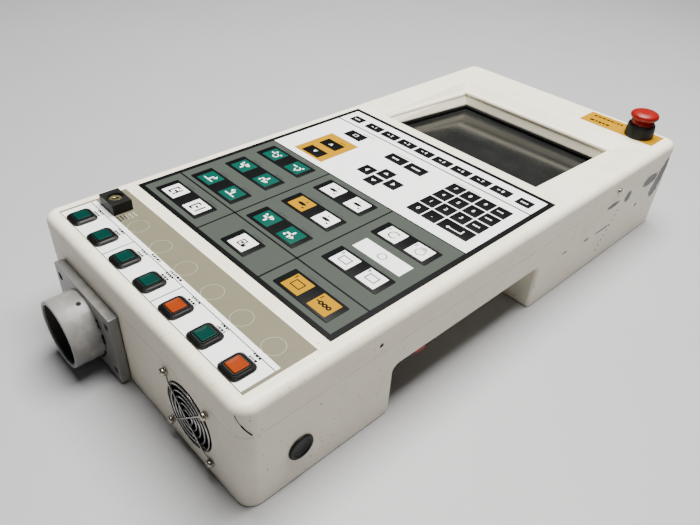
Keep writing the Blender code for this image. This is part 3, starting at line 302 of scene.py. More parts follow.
CREAM = (0.82, 0.770, 0.640)
LOOKS = {
    "paint": case_paint("look_case_paint", CREAM),
    "film_black": printed("look_film_black", (0.0022, 0.0024, 0.0028), 0.36, 0.0, 0.10),
    "film_white": printed("look_film_white", (0.80, 0.815, 0.82)),
    "film_grey": printed("look_film_grey", (0.046, 0.054, 0.047), 0.40, 0.16, 0.05),
    "film_brown": printed("look_film_brown", (0.140, 0.129, 0.088), 0.40, 0.16, 0.12),
    "film_yellow": printed("look_film_yellow", (0.34, 0.168, 0.0), 0.42, 0.0, 0.02),
    "film_green": printed("look_film_green", (0.002, 0.056, 0.041), 0.42, 0.0, 0.05),
    "film_line": printed("look_film_line", (0.30, 0.29, 0.21)),
    "film_faint": printed("look_film_faint", (0.022, 0.025, 0.023)),
    "bezel": moulded("look_bezel", (0.0022, 0.0026, 0.0028), 0.40, 1500.0, 0.0),
    "black": moulded("look_black", (0.0035, 0.0038, 0.0038), 0.45, 1500.0, 0.04),
    "lens_green": lens_plastic("look_lens_green", (0.0, 0.026, 0.020), (0.0, 0.055, 0.042)),
    "lens_orange": lens_plastic("look_lens_orange", (0.20, 0.026, 0.002), (0.28, 0.045, 0.003)),
    "red": moulded("look_red", (0.20, 0.005, 0.004), 0.32, 1200.0, 0.0, 0.05),
    "enamel": grey_enamel("look_enamel", (0.190, 0.187, 0.180)),
    "chrome": metal("look_chrome", (0.46, 0.46, 0.45), 0.14, None, (0.20, 0.19, 0.17)),
    "screw": metal("look_screw", (0.52, 0.48, 0.38), 0.20, None, (0.22, 0.17, 0.10)),
    "oiled_steel": metal("look_oiled_steel", (0.10, 0.10, 0.10), 0.35),
    "brass": metal("look_brass", (0.60, 0.53, 0.27), 0.28, (0.2, 1.0, 1.0), (0.30, 0.26, 0.12)),
    "steel": metal("look_steel", (0.50, 0.51, 0.52), 0.32, (0.1, 1.0, 1.0)),
    "glass": screen_glass(),
    "gasket": rubber("look_gasket", (0.0022, 0.0022, 0.0022)),
    "sealant": rubber("look_sealant", (0.005, 0.0045, 0.004)),
    "board": moulded("look_board", (0.02, 0.14, 0.06), 0.40, 600.0),
    "marker": moulded("look_marker", (0.35, 0.015, 0.015), 0.45),
    "liner": moulded("look_tube_bore", (0.045, 0.043, 0.037), 0.6, 500.0, 0.3),
    "joint": moulded("look_flange_joint", (0.26, 0.255, 0.24), 0.6),
    "pale": moulded("look_pale", (0.35, 0.33, 0.28), 0.5),
}


# ---- Mesh building ----


def show(name, bm, look, body=CASE, smooth=38, replaced=()):
    """Turns a bmesh in world coordinates into a piece that rides on a body."""
    bmesh.ops.recalc_face_normals(bm, faces=bm.faces)
    mesh = bpy.data.meshes.new(name)
    bm.to_mesh(mesh)
    bm.free()
    piece = bpy.data.objects.new(name, mesh)
    bpy.context.scene.collection.objects.link(piece)
    mesh.materials.append(LOOKS[look])
    mesh.shade_smooth()
    mesh.set_sharp_from_angle(angle=math.radians(smooth))
    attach(piece, body)
    if replaced:
        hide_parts(*replaced)
    return piece


def coat(node, look):
    node.data.materials.clear()
    node.data.materials.append(LOOKS[look])


def centre_of(name):
    low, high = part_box(name)
    return (low + high) / 2


def profile(points, radius=0.0, height=0.0):
    """Lathe points given in millimetres, measured from a radius and a height in metres."""
    return [(radius + r * MM, height + z * MM) for r, z in points]


def skin(bm, rings, closed_ends=(True, True)):
    """Joins rings of equal point counts into one surface."""
    loops = [[bm.verts.new(point) for point in ring] for ring in rings]
    count = len(rings[0])
    for lower, upper in zip(loops, loops[1:]):
        for i in range(count):
            j = (i + 1) % count
            bm.faces.new((lower[i], lower[j], upper[j], upper[i]))
    if closed_ends[0]:
        bm.faces.new(list(reversed(loops[0])))
    if closed_ends[1]:
        bm.faces.new(loops[-1])


def rounded(x0, x1, y0, y1, radius, steps=5):
    """Outline of a rectangle with round corners, anticlockwise."""
    radius = max(min(radius, (x1 - x0) / 2 - 1e-6, (y1 - y0) / 2 - 1e-6), 1e-5)
    points = []
    left, right = x0 + radius, x1 - radius
    near, far = y0 + radius, y1 - radius
    corners = ((right, far), (left, far), (left, near), (right, near))
    for quarter, (cx, cy) in enumerate(corners):
        for i in range(steps + 1):
            angle = math.radians(90 * (quarter + i / steps))
            points.append((cx + radius * math.cos(angle), cy + radius * math.sin(angle)))
    return points


def pad(bm, rect, low, high, radius, rounding=0.0):
    """A flat pad on the sheet whose upper edge is rounded off."""
    x0, x1, y0, y1 = rect
    levels = [(0.0, low)]
    if rounding:
        for i in range(4):
            angle = math.radians(30 * i)
            levels.append((rounding * (1 - math.cos(angle)), high - rounding * (1 - math.sin(angle))))
    else:
        levels.append((0.0, high))
    rings = []
    for inset, z in levels:
        outline = rounded(x0 + inset, x1 - inset, y0 + inset, y1 - inset, radius - inset)
        rings.append([(x, y, z) for x, y in outline])
    skin(bm, rings)


def prism(bm, outline, low, high):
    skin(bm, [[(x, y, low) for x, y in outline], [(x, y, high) for x, y in outline]])


def ring_print(bm, centre, radius, width, low, high, start=0.0, sweep=360.0, steps=40):
    """A printed circle or arc of the given line width."""
    full = sweep >= 360.0
    count = steps if full else steps + 1
    angles = [math.radians(start + sweep * i / steps) for i in range(count)]
    sections = []
    for angle in angles:
        c, s = math.cos(angle), math.sin(angle)
        inner, outer = radius - width / 2, radius + width / 2
        corners = ((inner, low), (outer, low), (outer, high), (inner, high))
        sections.append([bm.verts.new((centre[0] + r * c, centre[1] + r * s, z)) for r, z in corners])
    pairs = list(zip(sections, sections[1:])) + ([(sections[-1], sections[0])] if full else [])
    for here, there in pairs:
        for i in range(4):
            j = (i + 1) % 4
            bm.faces.new((here[i], there[i], there[j], here[j]))
    if not full:
        bm.faces.new(sections[0])
        bm.faces.new(list(reversed(sections[-1])))


def turn(bm, outline, place, segments=48):
    """An outline of (radius, height) points, turned about the local Z of place."""
    rings = []
    for radius, height in outline:
        if radius < 1e-7:
            rings.append([bm.verts.new(place @ Vector((0, 0, height)))])
            continue
        ring = []
        for i in range(segments):
            angle = math.tau * i / segments
            point = Vector((radius * math.cos(angle), radius * math.sin(angle), height))
            ring.append(bm.verts.new(place @ point))
        rings.append(ring)
    for lower, upper in zip(rings, rings[1:]):
        for i in range(segments):
            j = (i + 1) % segments
            corners = [ring[k % len(ring)] for ring, k in ((lower, i), (lower, j), (upper, j), (upper, i))]
            distinct = list(dict.fromkeys(corners))
            if len(distinct) > 2:
                bm.faces.new(distinct)


def wire(bm, points, radius, closed=False, sides=8):
    """A round wire along points, for guards and rods."""
    count = len(points)
    points = [Vector(p) for p in points]
    rings = []
    up = Vector((0, 1, 0))
    for i, point in enumerate(points):
        before = points[(i - 1) % count] if closed or i else point
        after = points[(i + 1) % count] if closed or i < count - 1 else point
        along = (after - before).normalized()
        side = along.cross(up)
        side = side.normalized() if side.length > 1e-4 else Vector((1, 0, 0))
        other = side.cross(along).normalized()
        ring = []
        for k in range(sides):
            angle = math.tau * k / sides
            ring.append(point + radius * (math.cos(angle) * side + math.sin(angle) * other))
        rings.append(ring)
    if closed:
        loops = [[bm.verts.new(p) for p in ring] for ring in rings]
        for i in range(count):
            for k in range(sides):
                m = (k + 1) % sides
                j = (i + 1) % count
                bm.faces.new((loops[i][k], loops[i][m], loops[j][m], loops[j][k]))
    else:
        skin(bm, rings)


def glyph(bm, text, x, y, z, size):
    """A printed digit, from the built-in font."""
    curve = bpy.data.curves.new("glyph", "FONT")
    curve.body = text
    curve.size = size
    curve.align_x = "CENTER"
    curve.align_y = "CENTER"
    curve.extrude = LAYER / 2
    curve.offset = size * 0.012
    guide = bpy.data.objects.new("glyph", curve)
    bpy.context.scene.collection.objects.link(guide)
    bpy.context.view_layer.update()
    mesh = bpy.data.meshes.new_from_object(guide.evaluated_get(bpy.context.evaluated_depsgraph_get()))
    mesh.transform(Matrix.Translation((x, y, z + LAYER / 2)))
    bm.from_mesh(mesh)
    bpy.data.meshes.remove(mesh)
    bpy.data.objects.remove(guide, do_unlink=True)
    bpy.data.curves.remove(curve)


WORD_WIDTHS = (0.5, 1.5)
WORD_GAP = 0.35
WORD_LEAST = 0.4
WORD_ROWS = 1.9
ROW_FILL = (0.75, 1.0)


def greeked(bm, draw, x, y, z, length, height, rows=1):
    """Rows of short bars that stand in for small lettering."""
    for row in range(rows):
        left = x
        end = x + length * draw.uniform(*ROW_FILL)
        while left < end - height * WORD_LEAST:
            width = height * draw.uniform(*WORD_WIDTHS)
            right = min(left + width, end)
            base = y - row * height * WORD_ROWS
            pad(bm, (left, right, base, base + height), z, z + LAYER, height * 0.1)
            left = right + height * WORD_GAP


# ---- Printed keypad ----


KEY_RISE = 0.0007
FRAME_RISE = 0.0005
SIDE_BORDER = 6.0
NEAR_BORDER = 5.0
FIELD_SPLIT = 175.8
KEY_WIDTH = 23.0
KEY_HEIGHT = 20.6
ICON_SCALE = 1.15
FRAME_HEIGHT = 26.8

FIELD_GAP = 1.6
FIELD_CORNER = 0.3
SHEET_CORNER = 1.2
FRAME_CORNER = 1.6
KEY_CORNER = 0.7
DIVIDER_WIDTH = 1.9
DIVIDERS_ACROSS = (107.4, 205.2)
DIVIDER_ALONG = 48.0
ROW_LINE = (280.4, 282.4)
KEY_INSETS = (7.4, 5.8)
CAPTION_GAP = 2.4
CAPTION_HEIGHT = 1.3
PAIR_CAPTION = (7.0, 17.0)
SINGLE_CAPTION = (6.0, 20.0)

LEFT_COLUMN = (17.1, 93.1)
MIDDLE_COLUMN = (118.3, 191.5)
RIGHT_COLUMN = (217.0, 288.3)
ROW_BASES = (140.4, 97.0, 53.2)
LOW_ROW = 10.7
SINGLE_KEY = (136.4, 173.4)
LAMP_BAR = (222.8, 284.1, 100.9, 120.2)
LAMP_RING = (253.4, 110.5)
LAMP_RING_RADIUS = 4.4
LAMP_RING_LINE = 0.9

TOP_ROW = 289.6
TOP_HEIGHT = 13.7
END_KEYS = ((15.9, 18.3), (274.0, 18.1))
FUNCTION_KEYS = 8
FUNCTION_FIRST = 43.2
FUNCTION_PITCH = 28.1
FUNCTION_WIDTH = 24.7
FUNCTION_MARK = 9.0
FUNCTION_DIGIT = (14.6, 6.2)
END_WORDS = (4.5, 5.3, 10.0, 2.2)
NUMBER_ROWS = ("789-", "456-", "123-", "0.")
NUMBER_FIRST = (208.6, 251.2)
NUMBER_PITCH = (20.34, 20.3)
NUMBER_KEY = (18.5, 18.1)
NUMBER_WORDS = (4.0, 8.2, 10.5, 2.0)
NUMBER_DIGIT = (9.2, 9.0, 7.0)
ENTER_WIDTH = 38.8
ARROW_SIDE = 17.6
ARROW_KEYS = (
    ((147.6, 223.7), (0, 1)),
    ((127.2, 213.7), (-1, 0)),
    ((148.0, 202.8), (0, -1)),
    ((168.2, 213.1), (1, 0)),
)
WIDE_KEY = (27.4, 16.2)
WIDE_WORDS = (7.5, 6.6, 13.5, 2.4)
WIDE_KEYS = ((116.8, 250.0), (147.3, 250.0))
YELLOW_BLOCK = (33.2, 81.2, 184.3, 244.0)
YELLOW_KEYS = ((43.0, 214.7, 1), (43.0, 187.8, -1))
YELLOW_KEY_WIDTH = 28.2
DISPLAY_KEY = (43.0, 254.2, 27.7, 16.2)
CAPTIONS = ((60.0, 273.0, 20.0), (58.0, 234.0, 12.0), (120.0, 269.0, 30.0), (210.0, 271.4, 35.0))


def sheet_x(u):
    return SHEET_LOW.x + u * MM


def sheet_y(v):
    return SHEET_LOW.y + v * MM


def sheet_rect(u0, u1, v0, v1):
    return (sheet_x(u0), sheet_x(u1), sheet_y(v0), sheet_y(v1))


class Icons:
    """Draws pictograms on keys. Shapes are in millimetres from the key's centre."""

    def __init__(self, bm, scale=1.0):
        self.bm = bm
        self.scale = scale

    def key(self, u, v, z):
        self.u, self.v, self.z = u, v, z
        return self

    def bar(self, x0, y0, x1, y1):
        x0, y0, x1, y1 = (self.scale * value for value in (x0, y0, x1, y1))
        rect = sheet_rect(self.u + x0, self.u + x1, self.v + y0, self.v + y1)
        pad(self.bm, rect, self.z, self.z + LAYER, 0.00015)

    def shape(self, *corners):
        grow = self.scale
        outline = [(sheet_x(self.u + grow * x), sheet_y(self.v + grow * y)) for x, y in corners]
        prism(self.bm, outline, self.z, self.z + LAYER)

    def ring(self, x, y, radius, width, start=0.0, sweep=360.0):
        grow = self.scale
        centre = (sheet_x(self.u + grow * x), sheet_y(self.v + grow * y))
        size = grow * MM
        ring_print(self.bm, centre, size * radius, size * width, self.z, self.z + LAYER, start, sweep)

    def frame(self, x0, y0, x1, y1, line):
        self.bar(x0, y0, x1, y0 + line)
        self.bar(x0, y1 - line, x1, y1)
        self.bar(x0, y0 + line, x0 + line, y1 - line)
        self.bar(x1 - line, y0 + line, x1, y1 - line)

    def arrow(self, x, y, facing, size=3.2):
        """A solid arrowhead: facing is (1, 0) for right, (0, 1) for far, and so on."""
        fx, fy = facing
        half = size * 0.8
        tip = (x + fx * size, y + fy * size)
        self.shape(tip, (x - fy * half, y + fx * half), (x + fy * half, y - fx * half))

    def dot(self, x, y, radius=1.4):
        angles = [math.tau * i / 16 for i in range(16)]
        self.shape(*[(x + radius * math.cos(angle), y + radius * math.sin(angle)) for angle in angles])


def icon_travel(icons, side):
    """A carriage on its bar, with an arrow to one side."""
    icons.bar(-6.5, -3.6, 6.5, -2.4)
    icons.bar(-0.8, -2.4, 0.8, 3.6)
    icons.arrow(side * 2.2, 3.4, (side, 0), 3.4)


def icon_screw(icons, side):
    icons.bar(-1.0, -5.0, 1.0, 5.0)
    icons.bar(-5.5, -1.0, 1.0, 1.0)
    icons.arrow(2.2, side * 2.4, (1, 0), 3.0)
    icons.dot(-5.2, side * 3.2, 1.3)


def icon_feed(icons, side):
    icons.ring(2.2, -1.0, 2.8, 1.2, 200.0, 270.0)
    icons.bar(-6.5, 0.6, -1.0, 2.0)
    icons.arrow(-2.0 * side, 3.6 * side, (0, side), 2.6)
    icons.dot(5.6, 3.2, 1.1)


def icon_nozzle(icons, side):
    icons.bar(-2.6, -1.8, 3.4, 1.8)
    icons.shape((-2.6, -1.8), (-2.6, 1.8), (-5.6, 0.0))
    icons.bar(3.4, -0.6, 5.6, 0.6)
    icons.arrow(side * 1.0, 5.0, (side, 0), 1.9)
    icons.bar(4.2, -4.8, 6.8, -3.2)


def icon_mould(icons, side):
    icons.bar(-5.0, -5.6, -3.2, 5.6)
    icons.bar(3.4 - side, -5.6, 5.2 - side, 5.6)
    icons.bar(-3.2, -5.6, 0.0, -3.8)
    icons.bar(-3.2, 3.8, 0.0, 5.6)
    icons.bar(-1.6, -1.0, 2.4, 1.0)


def icon_core(icons, side):
    icons.frame(-3.8, -4.4, 2.6, 3.8, 1.2)
    icons.bar(2.6, -4.4, 5.2, -0.8)
    icons.dot(-0.6, -0.3, 1.5 * side)


def icon_window(icons, side):
    icons.frame(-5.2, -4.0, 5.6, 4.0, 1.0)
    icons.bar(-8.2, 3.6, -7.2, 7.2)
    icons.arrow(-8.4, 6.4, (side, 0), 1.4)


def icon_cycle(icons, side):
    icons.ring(0.6, 0.0, 4.4, 1.1, 60.0, 270.0)
    icons.arrow(3.0, 3.6, (1, 0), 2.0)
    icons.bar(-8.2, 2.6, -7.2, 6.4)


def icon_hand(icons, side):
    """A flat glove shape: palm and four fingers."""
    icons.ring(0.6, -0.6, 4.2, 0.8, 150.0, 250.0)
    for i in range(4):
        icons.bar(-3.0 + 1.9 * i, 2.6, -2.0 + 1.9 * i, 5.4 + (i % 3))
    icons.bar(-8.2, 2.6, -7.2, 6.4)


def icon_dots(icons, side):
    for i in range(3):
        icons.ring(-3.4 + 4.2 * i, -0.4, 1.5, 1.5)
    icons.bar(-8.2, -0.8, -5.4, 0.4)
    icons.bar(-8.2, 2.6, -7.2, 6.4)


KEY_PAIRS = (
    (LEFT_COLUMN, ROW_BASES[0], "green", "green", icon_feed),
    (LEFT_COLUMN, ROW_BASES[1], "green", "green", icon_screw),
    (LEFT_COLUMN, ROW_BASES[2], "green", "green", icon_travel),
    (MIDDLE_COLUMN, ROW_BASES[0], "white", "white", icon_nozzle),
    (MIDDLE_COLUMN, ROW_BASES[1], "yellow", "white", icon_nozzle),
    (MIDDLE_COLUMN, ROW_BASES[2], "green", "green", icon_screw),
    (RIGHT_COLUMN, 130.0, "white", "white", icon_cycle),
    (RIGHT_COLUMN, 66.4, "white", "white", icon_window),
    (LEFT_COLUMN, LOW_ROW, "white", "white", icon_mould),
    (RIGHT_COLUMN, LOW_ROW, "yellow", "yellow", icon_window),
)


class Keypad:
    """The printed sheet, as one bmesh for each film. Places and sizes are in millimetres."""

    def __init__(self):
        names = ("black", "grey", "white", "yellow", "green", "print_white", "print_black", "faint")
        self.films = {name: bmesh.new() for name in names}
        self.draw = random.Random(7)
        self.base = PRINT_Z - LAYER
        self.level = PRINT_Z + 2 * LAYER
        self.width = (SHEET_HIGH.x - SHEET_LOW.x) / MM
        self.length = (SHEET_HIGH.y - SHEET_LOW.y) / MM
        self.pen = Icons(self.films["print_white"])

    def field(self, film, rect, low, high, corner=FIELD_CORNER, rounding=0.0):
        pad(self.films[film], sheet_rect(*rect), low, high, corner * MM, rounding * MM)

    def line(self, *rect):
        self.field("black", rect, self.base, self.level + LAYER, 0.1)

    def surround(self, u0, u1, v):
        """The raised black frame round a pair of keys."""
        rect = (u0, u1, v, v + FRAME_HEIGHT)
        self.field("black", rect, self.level, self.level + FRAME_RISE, FRAME_CORNER, 0.4)

    def key(self, film, u, v, width, height, rise=FRAME_RISE, lift=0.0):
        low = self.level + lift
        self.field(film, (u, u + width, v, v + height), low - LAYER, low + rise, KEY_CORNER, 0.3)
        return low + rise

    def words(self, film, u, v, z, length, height, rows=1):
        greeked(self.films[film], self.draw, sheet_x(u), sheet_y(v), z, length * MM, height * MM, rows)

    def caption(self, u, base, place):
        """Two faint rows above a framed key: place is the offset across and the length."""
        v = base + FRAME_HEIGHT + CAPTION_GAP
        self.words("faint", u + place[0], v, self.level, place[1], CAPTION_HEIGHT, 2)

    def key_words(self, u, v, top, place):
        """White bars on a key: place is the offset across and along, the length and the height."""
        across, along, length, height = place
        self.words("print_white", u + across, v + along, top, length, height)

    def digit(self, text, u, v, z, size):
        glyph(self.films["print_white"], text, sheet_x(u), sheet_y(v), z, size * MM)


def keypad_fields(sheet):
    """Flat colour fields: black border, grey operating field, white entry field, and dividers."""
    base, level = sheet.base, sheet.level
    right = sheet.width - SIDE_BORDER
    sheet.field("black", (0.0, sheet.width, 0.0, sheet.length), base, PRINT_Z + LAYER, SHEET_CORNER)
    sheet.field("grey", (SIDE_BORDER, right, NEAR_BORDER, FIELD_SPLIT - FIELD_GAP), base, level)
    sheet.field("white", (SIDE_BORDER, right, FIELD_SPLIT, sheet.length - SIDE_BORDER), base, level)
    half = DIVIDER_WIDTH / 2
    for u in DIVIDERS_ACROSS:
        sheet.line(u - half, u + half, NEAR_BORDER - 1.0, FIELD_SPLIT)
    sheet.line(SIDE_BORDER - 1.0, right + 1.0, DIVIDER_ALONG - half, DIVIDER_ALONG + half)
    sheet.line(SIDE_BORDER - 1.0, right + 1.0, *ROW_LINE)


def operating_key(sheet, film, u, v, icon, side):
    top = sheet.key(film, u, v, KEY_WIDTH, KEY_HEIGHT, KEY_RISE)
    ink = sheet.films["print_white" if film == "green" else "print_black"]
    icon(Icons(ink, ICON_SCALE).key(u + KEY_WIDTH / 2, v + KEY_HEIGHT / 2, top), side)


def operating_keys(sheet):
    """Pairs of keys in raised black frames, on the grey field."""
    inset = (FRAME_HEIGHT - KEY_HEIGHT) / 2
    second_icons = {(icon_cycle, "white"): icon_hand, (icon_window, "yellow"): icon_dots}
    for column, base, first, second, icon in KEY_PAIRS:
        sheet.surround(*column, base)
        spots = (column[0] + KEY_INSETS[0], column[1] - KEY_INSETS[1] - KEY_WIDTH)
        drawn = (icon, second_icons.get((icon, second), icon))
        for index, (u, film) in enumerate(zip(spots, (first, second))):
            operating_key(sheet, film, u, base + inset, drawn[index], -1 if index else 1)
            sheet.caption(u, base, PAIR_CAPTION)
    sheet.surround(*SINGLE_KEY, LOW_ROW)
    u = SINGLE_KEY[0] + KEY_INSETS[0]
    operating_key(sheet, "white", u, LOW_ROW + inset, icon_core, 1)
    sheet.caption(u, LOW_ROW, SINGLE_CAPTION)
    face = sheet.level + LAYER
    sheet.field("white", LAMP_BAR, sheet.level - LAYER, face)
    middle = (sheet_x(LAMP_RING[0]), sheet_y(LAMP_RING[1]))
    size = (LAMP_RING_RADIUS * MM, LAMP_RING_LINE * MM)
    ring_print(sheet.films["print_black"], middle, *size, face, face + LAYER)


def function_row(sheet):
    for u, width in END_KEYS:
        top = sheet.key("black", u, TOP_ROW, width, TOP_HEIGHT)
        sheet.key_words(u, TOP_ROW, top, END_WORDS)
    middle = TOP_ROW + TOP_HEIGHT / 2
    for i in range(FUNCTION_KEYS):
        u = FUNCTION_FIRST + FUNCTION_PITCH * i
        top = sheet.key("black", u, TOP_ROW, FUNCTION_WIDTH, TOP_HEIGHT)
        sheet.pen.key(u + FUNCTION_MARK, middle, top).bar(-1.6, -0.6, 1.6, 0.6)
        sheet.digit(str(i + 1), u + FUNCTION_DIGIT[0], middle, top, FUNCTION_DIGIT[1])


def number_block(sheet):
    """Digits and three word keys, with a wide enter key in the last row."""
    for j, legends in enumerate(NUMBER_ROWS):
        v = NUMBER_FIRST[1] - NUMBER_PITCH[1] * j
        for i, legend in enumerate(legends):
            u = NUMBER_FIRST[0] + NUMBER_PITCH[0] * i
            top = sheet.key("black", u, v, *NUMBER_KEY)
            if legend == "-":
                sheet.key_words(u, v, top, NUMBER_WORDS)
            else:
                sheet.digit(legend, u + NUMBER_DIGIT[0], v + NUMBER_DIGIT[1], top, NUMBER_DIGIT[2])
    u = NUMBER_FIRST[0] + NUMBER_PITCH[0] * 2
    v = NUMBER_FIRST[1] - NUMBER_PITCH[1] * 3
    top = sheet.key("black", u, v, ENTER_WIDTH, NUMBER_KEY[1])
    pen = sheet.pen.key(u + 19.0, v + 8.6, top)
    pen.bar(-7.0, -3.2, 9.0, -1.9)
    pen.bar(7.6, -1.9, 9.0, 3.6)
    pen.arrow(-7.0, -2.55, (-1, 0), 3.2)


def entry_keys(sheet):
    """The white field: function row, numbers, arrows, wide keys and the yellow block."""
    function_row(sheet)
    number_block(sheet)
    half = ARROW_SIDE / 2
    for (u, v), facing in ARROW_KEYS:
        top = sheet.key("black", u - half, v - half, ARROW_SIDE, ARROW_SIDE)
        sheet.pen.key(u - facing[0] * 1.4, v - facing[1] * 1.4, top).arrow(0.0, 0.0, facing, 4.2)
    for u, v in WIDE_KEYS:
        top = sheet.key("black", u, v, *WIDE_KEY)
        sheet.key_words(u, v, top, WIDE_WORDS)
    sheet.field("yellow", YELLOW_BLOCK, sheet.level - LAYER, sheet.level + LAYER)
    for u, v, way in YELLOW_KEYS:
        top = sheet.key("black", u, v, YELLOW_KEY_WIDTH, WIDE_KEY[1], lift=LAYER)
        pen = sheet.pen.key(u + 14.0, v + WIDE_KEY[1] / 2, top)
        pen.arrow(0.0, -1.2 * way, (0, way), 3.0)
        pen.bar(-3.0, -2.6 * way - 0.3, 3.0, -2.6 * way + 0.3)
    u, v, width, height = DISPLAY_KEY
    top = sheet.key("black", u, v, width, height)
    sheet.pen.key(u + 14.0, v + height / 2, top).frame(-3.4, -2.6, 3.4, 2.6, 0.7)
    for u, v, length in CAPTIONS:
        sheet.words("print_black", u, v, sheet.level, length, CAPTION_HEIGHT)


def printed_keypad():
    sheet = Keypad()
    keypad_fields(sheet)
    operating_keys(sheet)
    entry_keys(sheet)
    films = {"print_white": "film_white", "print_black": "film_black", "faint": "film_faint"}
    for name, bm in sheet.films.items():
        show("keypad_" + name, bm, films.get(name, "film_" + name))


# ---- Control overlay ----


BAND = (2.6, 303.2, 0.4, 36.4)
BAND_GAP = 8.5
BAND_LINES = ((2.6, 303.2, 30.9, 31.7), (89.9, 91.0, 0.4, 31.0), (175.0, 176.1, 0.4, 31.0))
BLANKS = 6
BLANK_FIRST = (70.5, 46.4)
BLANK_PITCH = 42.26
BLANK_RADIUS = 10.0 * MM
BLANK_LINE = 0.45 * MM
GROUP_TITLES = ((118.0, 33.0), (150.0, 33.0))
TITLE_LENGTH = 20.0


def overlay_rect(u0, u1, v0, v1):
    low = OVERLAY_LOW
    return (low.x + u0 * MM, low.x + u1 * MM, low.y + v0 * MM, low.y + v1 * MM)


def white_band(low, level, holes):
    """The white band of the overlay, left open under each push button."""
    bm = bmesh.new()
    edge = BAND_GAP * MM
    left, right, near, far = overlay_rect(*BAND)
    centre = holes[0][1]
    for strip in ((left, right, near, centre - edge), (left, right, centre + edge, far)):
        pad(bm, strip, low, level, 0.1 * MM)
    stops = [left - edge] + [x for x, _, _ in sorted(holes)] + [right + edge]
    for start, stop in zip(stops, stops[1:]):
        bridge = (start + edge, stop - edge, centre - edge - LAYER, centre + edge + LAYER)
        pad(bm, bridge, low, level, 0.01 * MM)
    show("overlay_white_band", bm, "film_white")


def printed_overlay():
    """White band with dividers under the brown strip, its round blanks, and small lettering."""
    draw = random.Random(11)
    lines, dark = bmesh.new(), bmesh.new()
    top = OVERLAY_HIGH.z
    low = top - LAYER
    level = top + LAYER
    holes = button_places()
    white_band(low, level, holes)
    for rect in BAND_LINES:
        pad(dark, overlay_rect(*rect), low, level + LAYER, 0.05 * MM)
    for i in range(BLANKS):
        u = BLANK_FIRST[0] + BLANK_PITCH * i
        centre = (OVERLAY_LOW.x + u * MM, OVERLAY_LOW.y + BLANK_FIRST[1] * MM)
        ring_print(lines, centre, BLANK_RADIUS, BLANK_LINE, low, level, steps=56)
    for x, y, _ in holes:
        greeked(dark, draw, x - 4.0 * MM, y + 17.0 * MM, level, 13.0 * MM, 2.1 * MM, 2)
    for u, v in GROUP_TITLES:
        spot = (OVERLAY_LOW.x + u * MM, OVERLAY_LOW.y + v * MM)
        greeked(dark, draw, *spot, level, TITLE_LENGTH * MM, 2.4 * MM)
    block_low, block_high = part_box("key_switch_body")
    for row in range(3):
        far = block_high.y - (4.0 + 4.2 * row) * MM
        near = block_low.y + (7.0 - 3.4 * row) * MM
        greeked(lines, draw, block_high.x + 4.0 * MM, far, top, 11.0 * MM, 1.8 * MM)
        greeked(dark, draw, block_high.x + 3.0 * MM, near, top, 10.0 * MM, 1.8 * MM)
    show("overlay_rings", lines, "film_line")
    show("overlay_print", dark, "film_black")


LABEL_LINES = (
    (8.0, -11.0, 46.0, 3.6),
    (10.0, 8.0, 32.0, 4.5),
    (-46.0, -6.0, 14.0, 2.2),
)


def estop_label_print():
    """Greeked lines: negative places are measured from the label's right or far edge."""
    draw = random.Random(5)
    bm = bmesh.new()
    for u, v, length, height in LABEL_LINES:
        x = u * MM + (LABEL_LOW.x if u > 0 else LABEL_HIGH.x)
        y = v * MM + (LABEL_LOW.y if v > 0 else LABEL_HIGH.y)
        greeked(bm, draw, x, y, LABEL_HIGH.z, length * MM, height * MM)
    show("estop_label_print", bm, "film_black")


# ---- Push buttons ----


def button_places():
    """Centre and bezel top of each push button."""
    places = []
    for i in range(1, BUTTON_COUNT + 1):
        low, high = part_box("button_body_{}".format(i))
        places.append(((low.x + high.x) / 2, (low.y + high.y) / 2, high.z))
    return places


BEZEL_HEIGHT = 3.0 * MM
BEZEL_RINGS = (
    (11.6, 5.6, 0.0), (12.0, 6.0, 0.3), (12.0, 6.0, 0.8), (11.7, 5.8, 1.3), (10.8, 5.0, 2.1), (9.9, 4.2, 2.7),
    (9.3, 3.6, 3.0), (8.4, 2.8, 3.0), (7.7, 2.0, 2.7), (7.3, 1.4, 2.1), (7.3, 1.4, -0.3),
)
LENS_RINGS = (
    (5.0, 4.9, -8.8), (5.0, 4.9, -1.1), (6.9, 1.2, -1.1), (6.9, 1.2, -0.8), (6.75, 1.1, -0.4),
    (6.4, 1.0, -0.1), (5.9, 0.8, 0.0), (5.4, 0.7, -0.2), (3.0, 0.5, -0.3),
)


def stacked_squares(table, x, y, z, closed_ends):
    """Skins rounded squares, each given by its half side, corner radius and height in mm."""
    bm = bmesh.new()
    rings = []
    for half, radius, lift in table:
        side = half * MM
        outline = rounded(x - side, x + side, y - side, y + side, radius * MM, 7)
        rings.append([(px, py, z + lift * MM) for px, py in outline])
    skin(bm, rings, closed_ends)
    return bm


def push_button(index, x, y, top):
    """Domed square bezel round the CAD body, and a lens in place of the plain CAD one."""
    bezel = stacked_squares(BEZEL_RINGS, x, y, top - BEZEL_HEIGHT, (False, False))
    show("button_bezel_{}".format(index), bezel, "bezel", smooth=60)
    coat(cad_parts["button_body_{}".format(index)], "black")
    cap = "button_cap_{}".format(index)
    lens = stacked_squares(LENS_RINGS, x, y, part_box(cap)[1].z, (True, True))
    colour = "orange" if index in ORANGE_BUTTONS else "green"
    show("button_lens_{}".format(index), lens, "lens_" + colour, "button_{}".format(index),
         50, (cap,))


def push_buttons():
    for index, (x, y, top) in enumerate(button_places(), 1):
        push_button(index, x, y, top)


# ---- Screws ----


def frame_from(axis, spot):
    turn_to = Vector((0, 0, 1)).rotation_difference(Vector(axis)).to_matrix().to_4x4()
    return Matrix.Translation(spot) @ turn_to


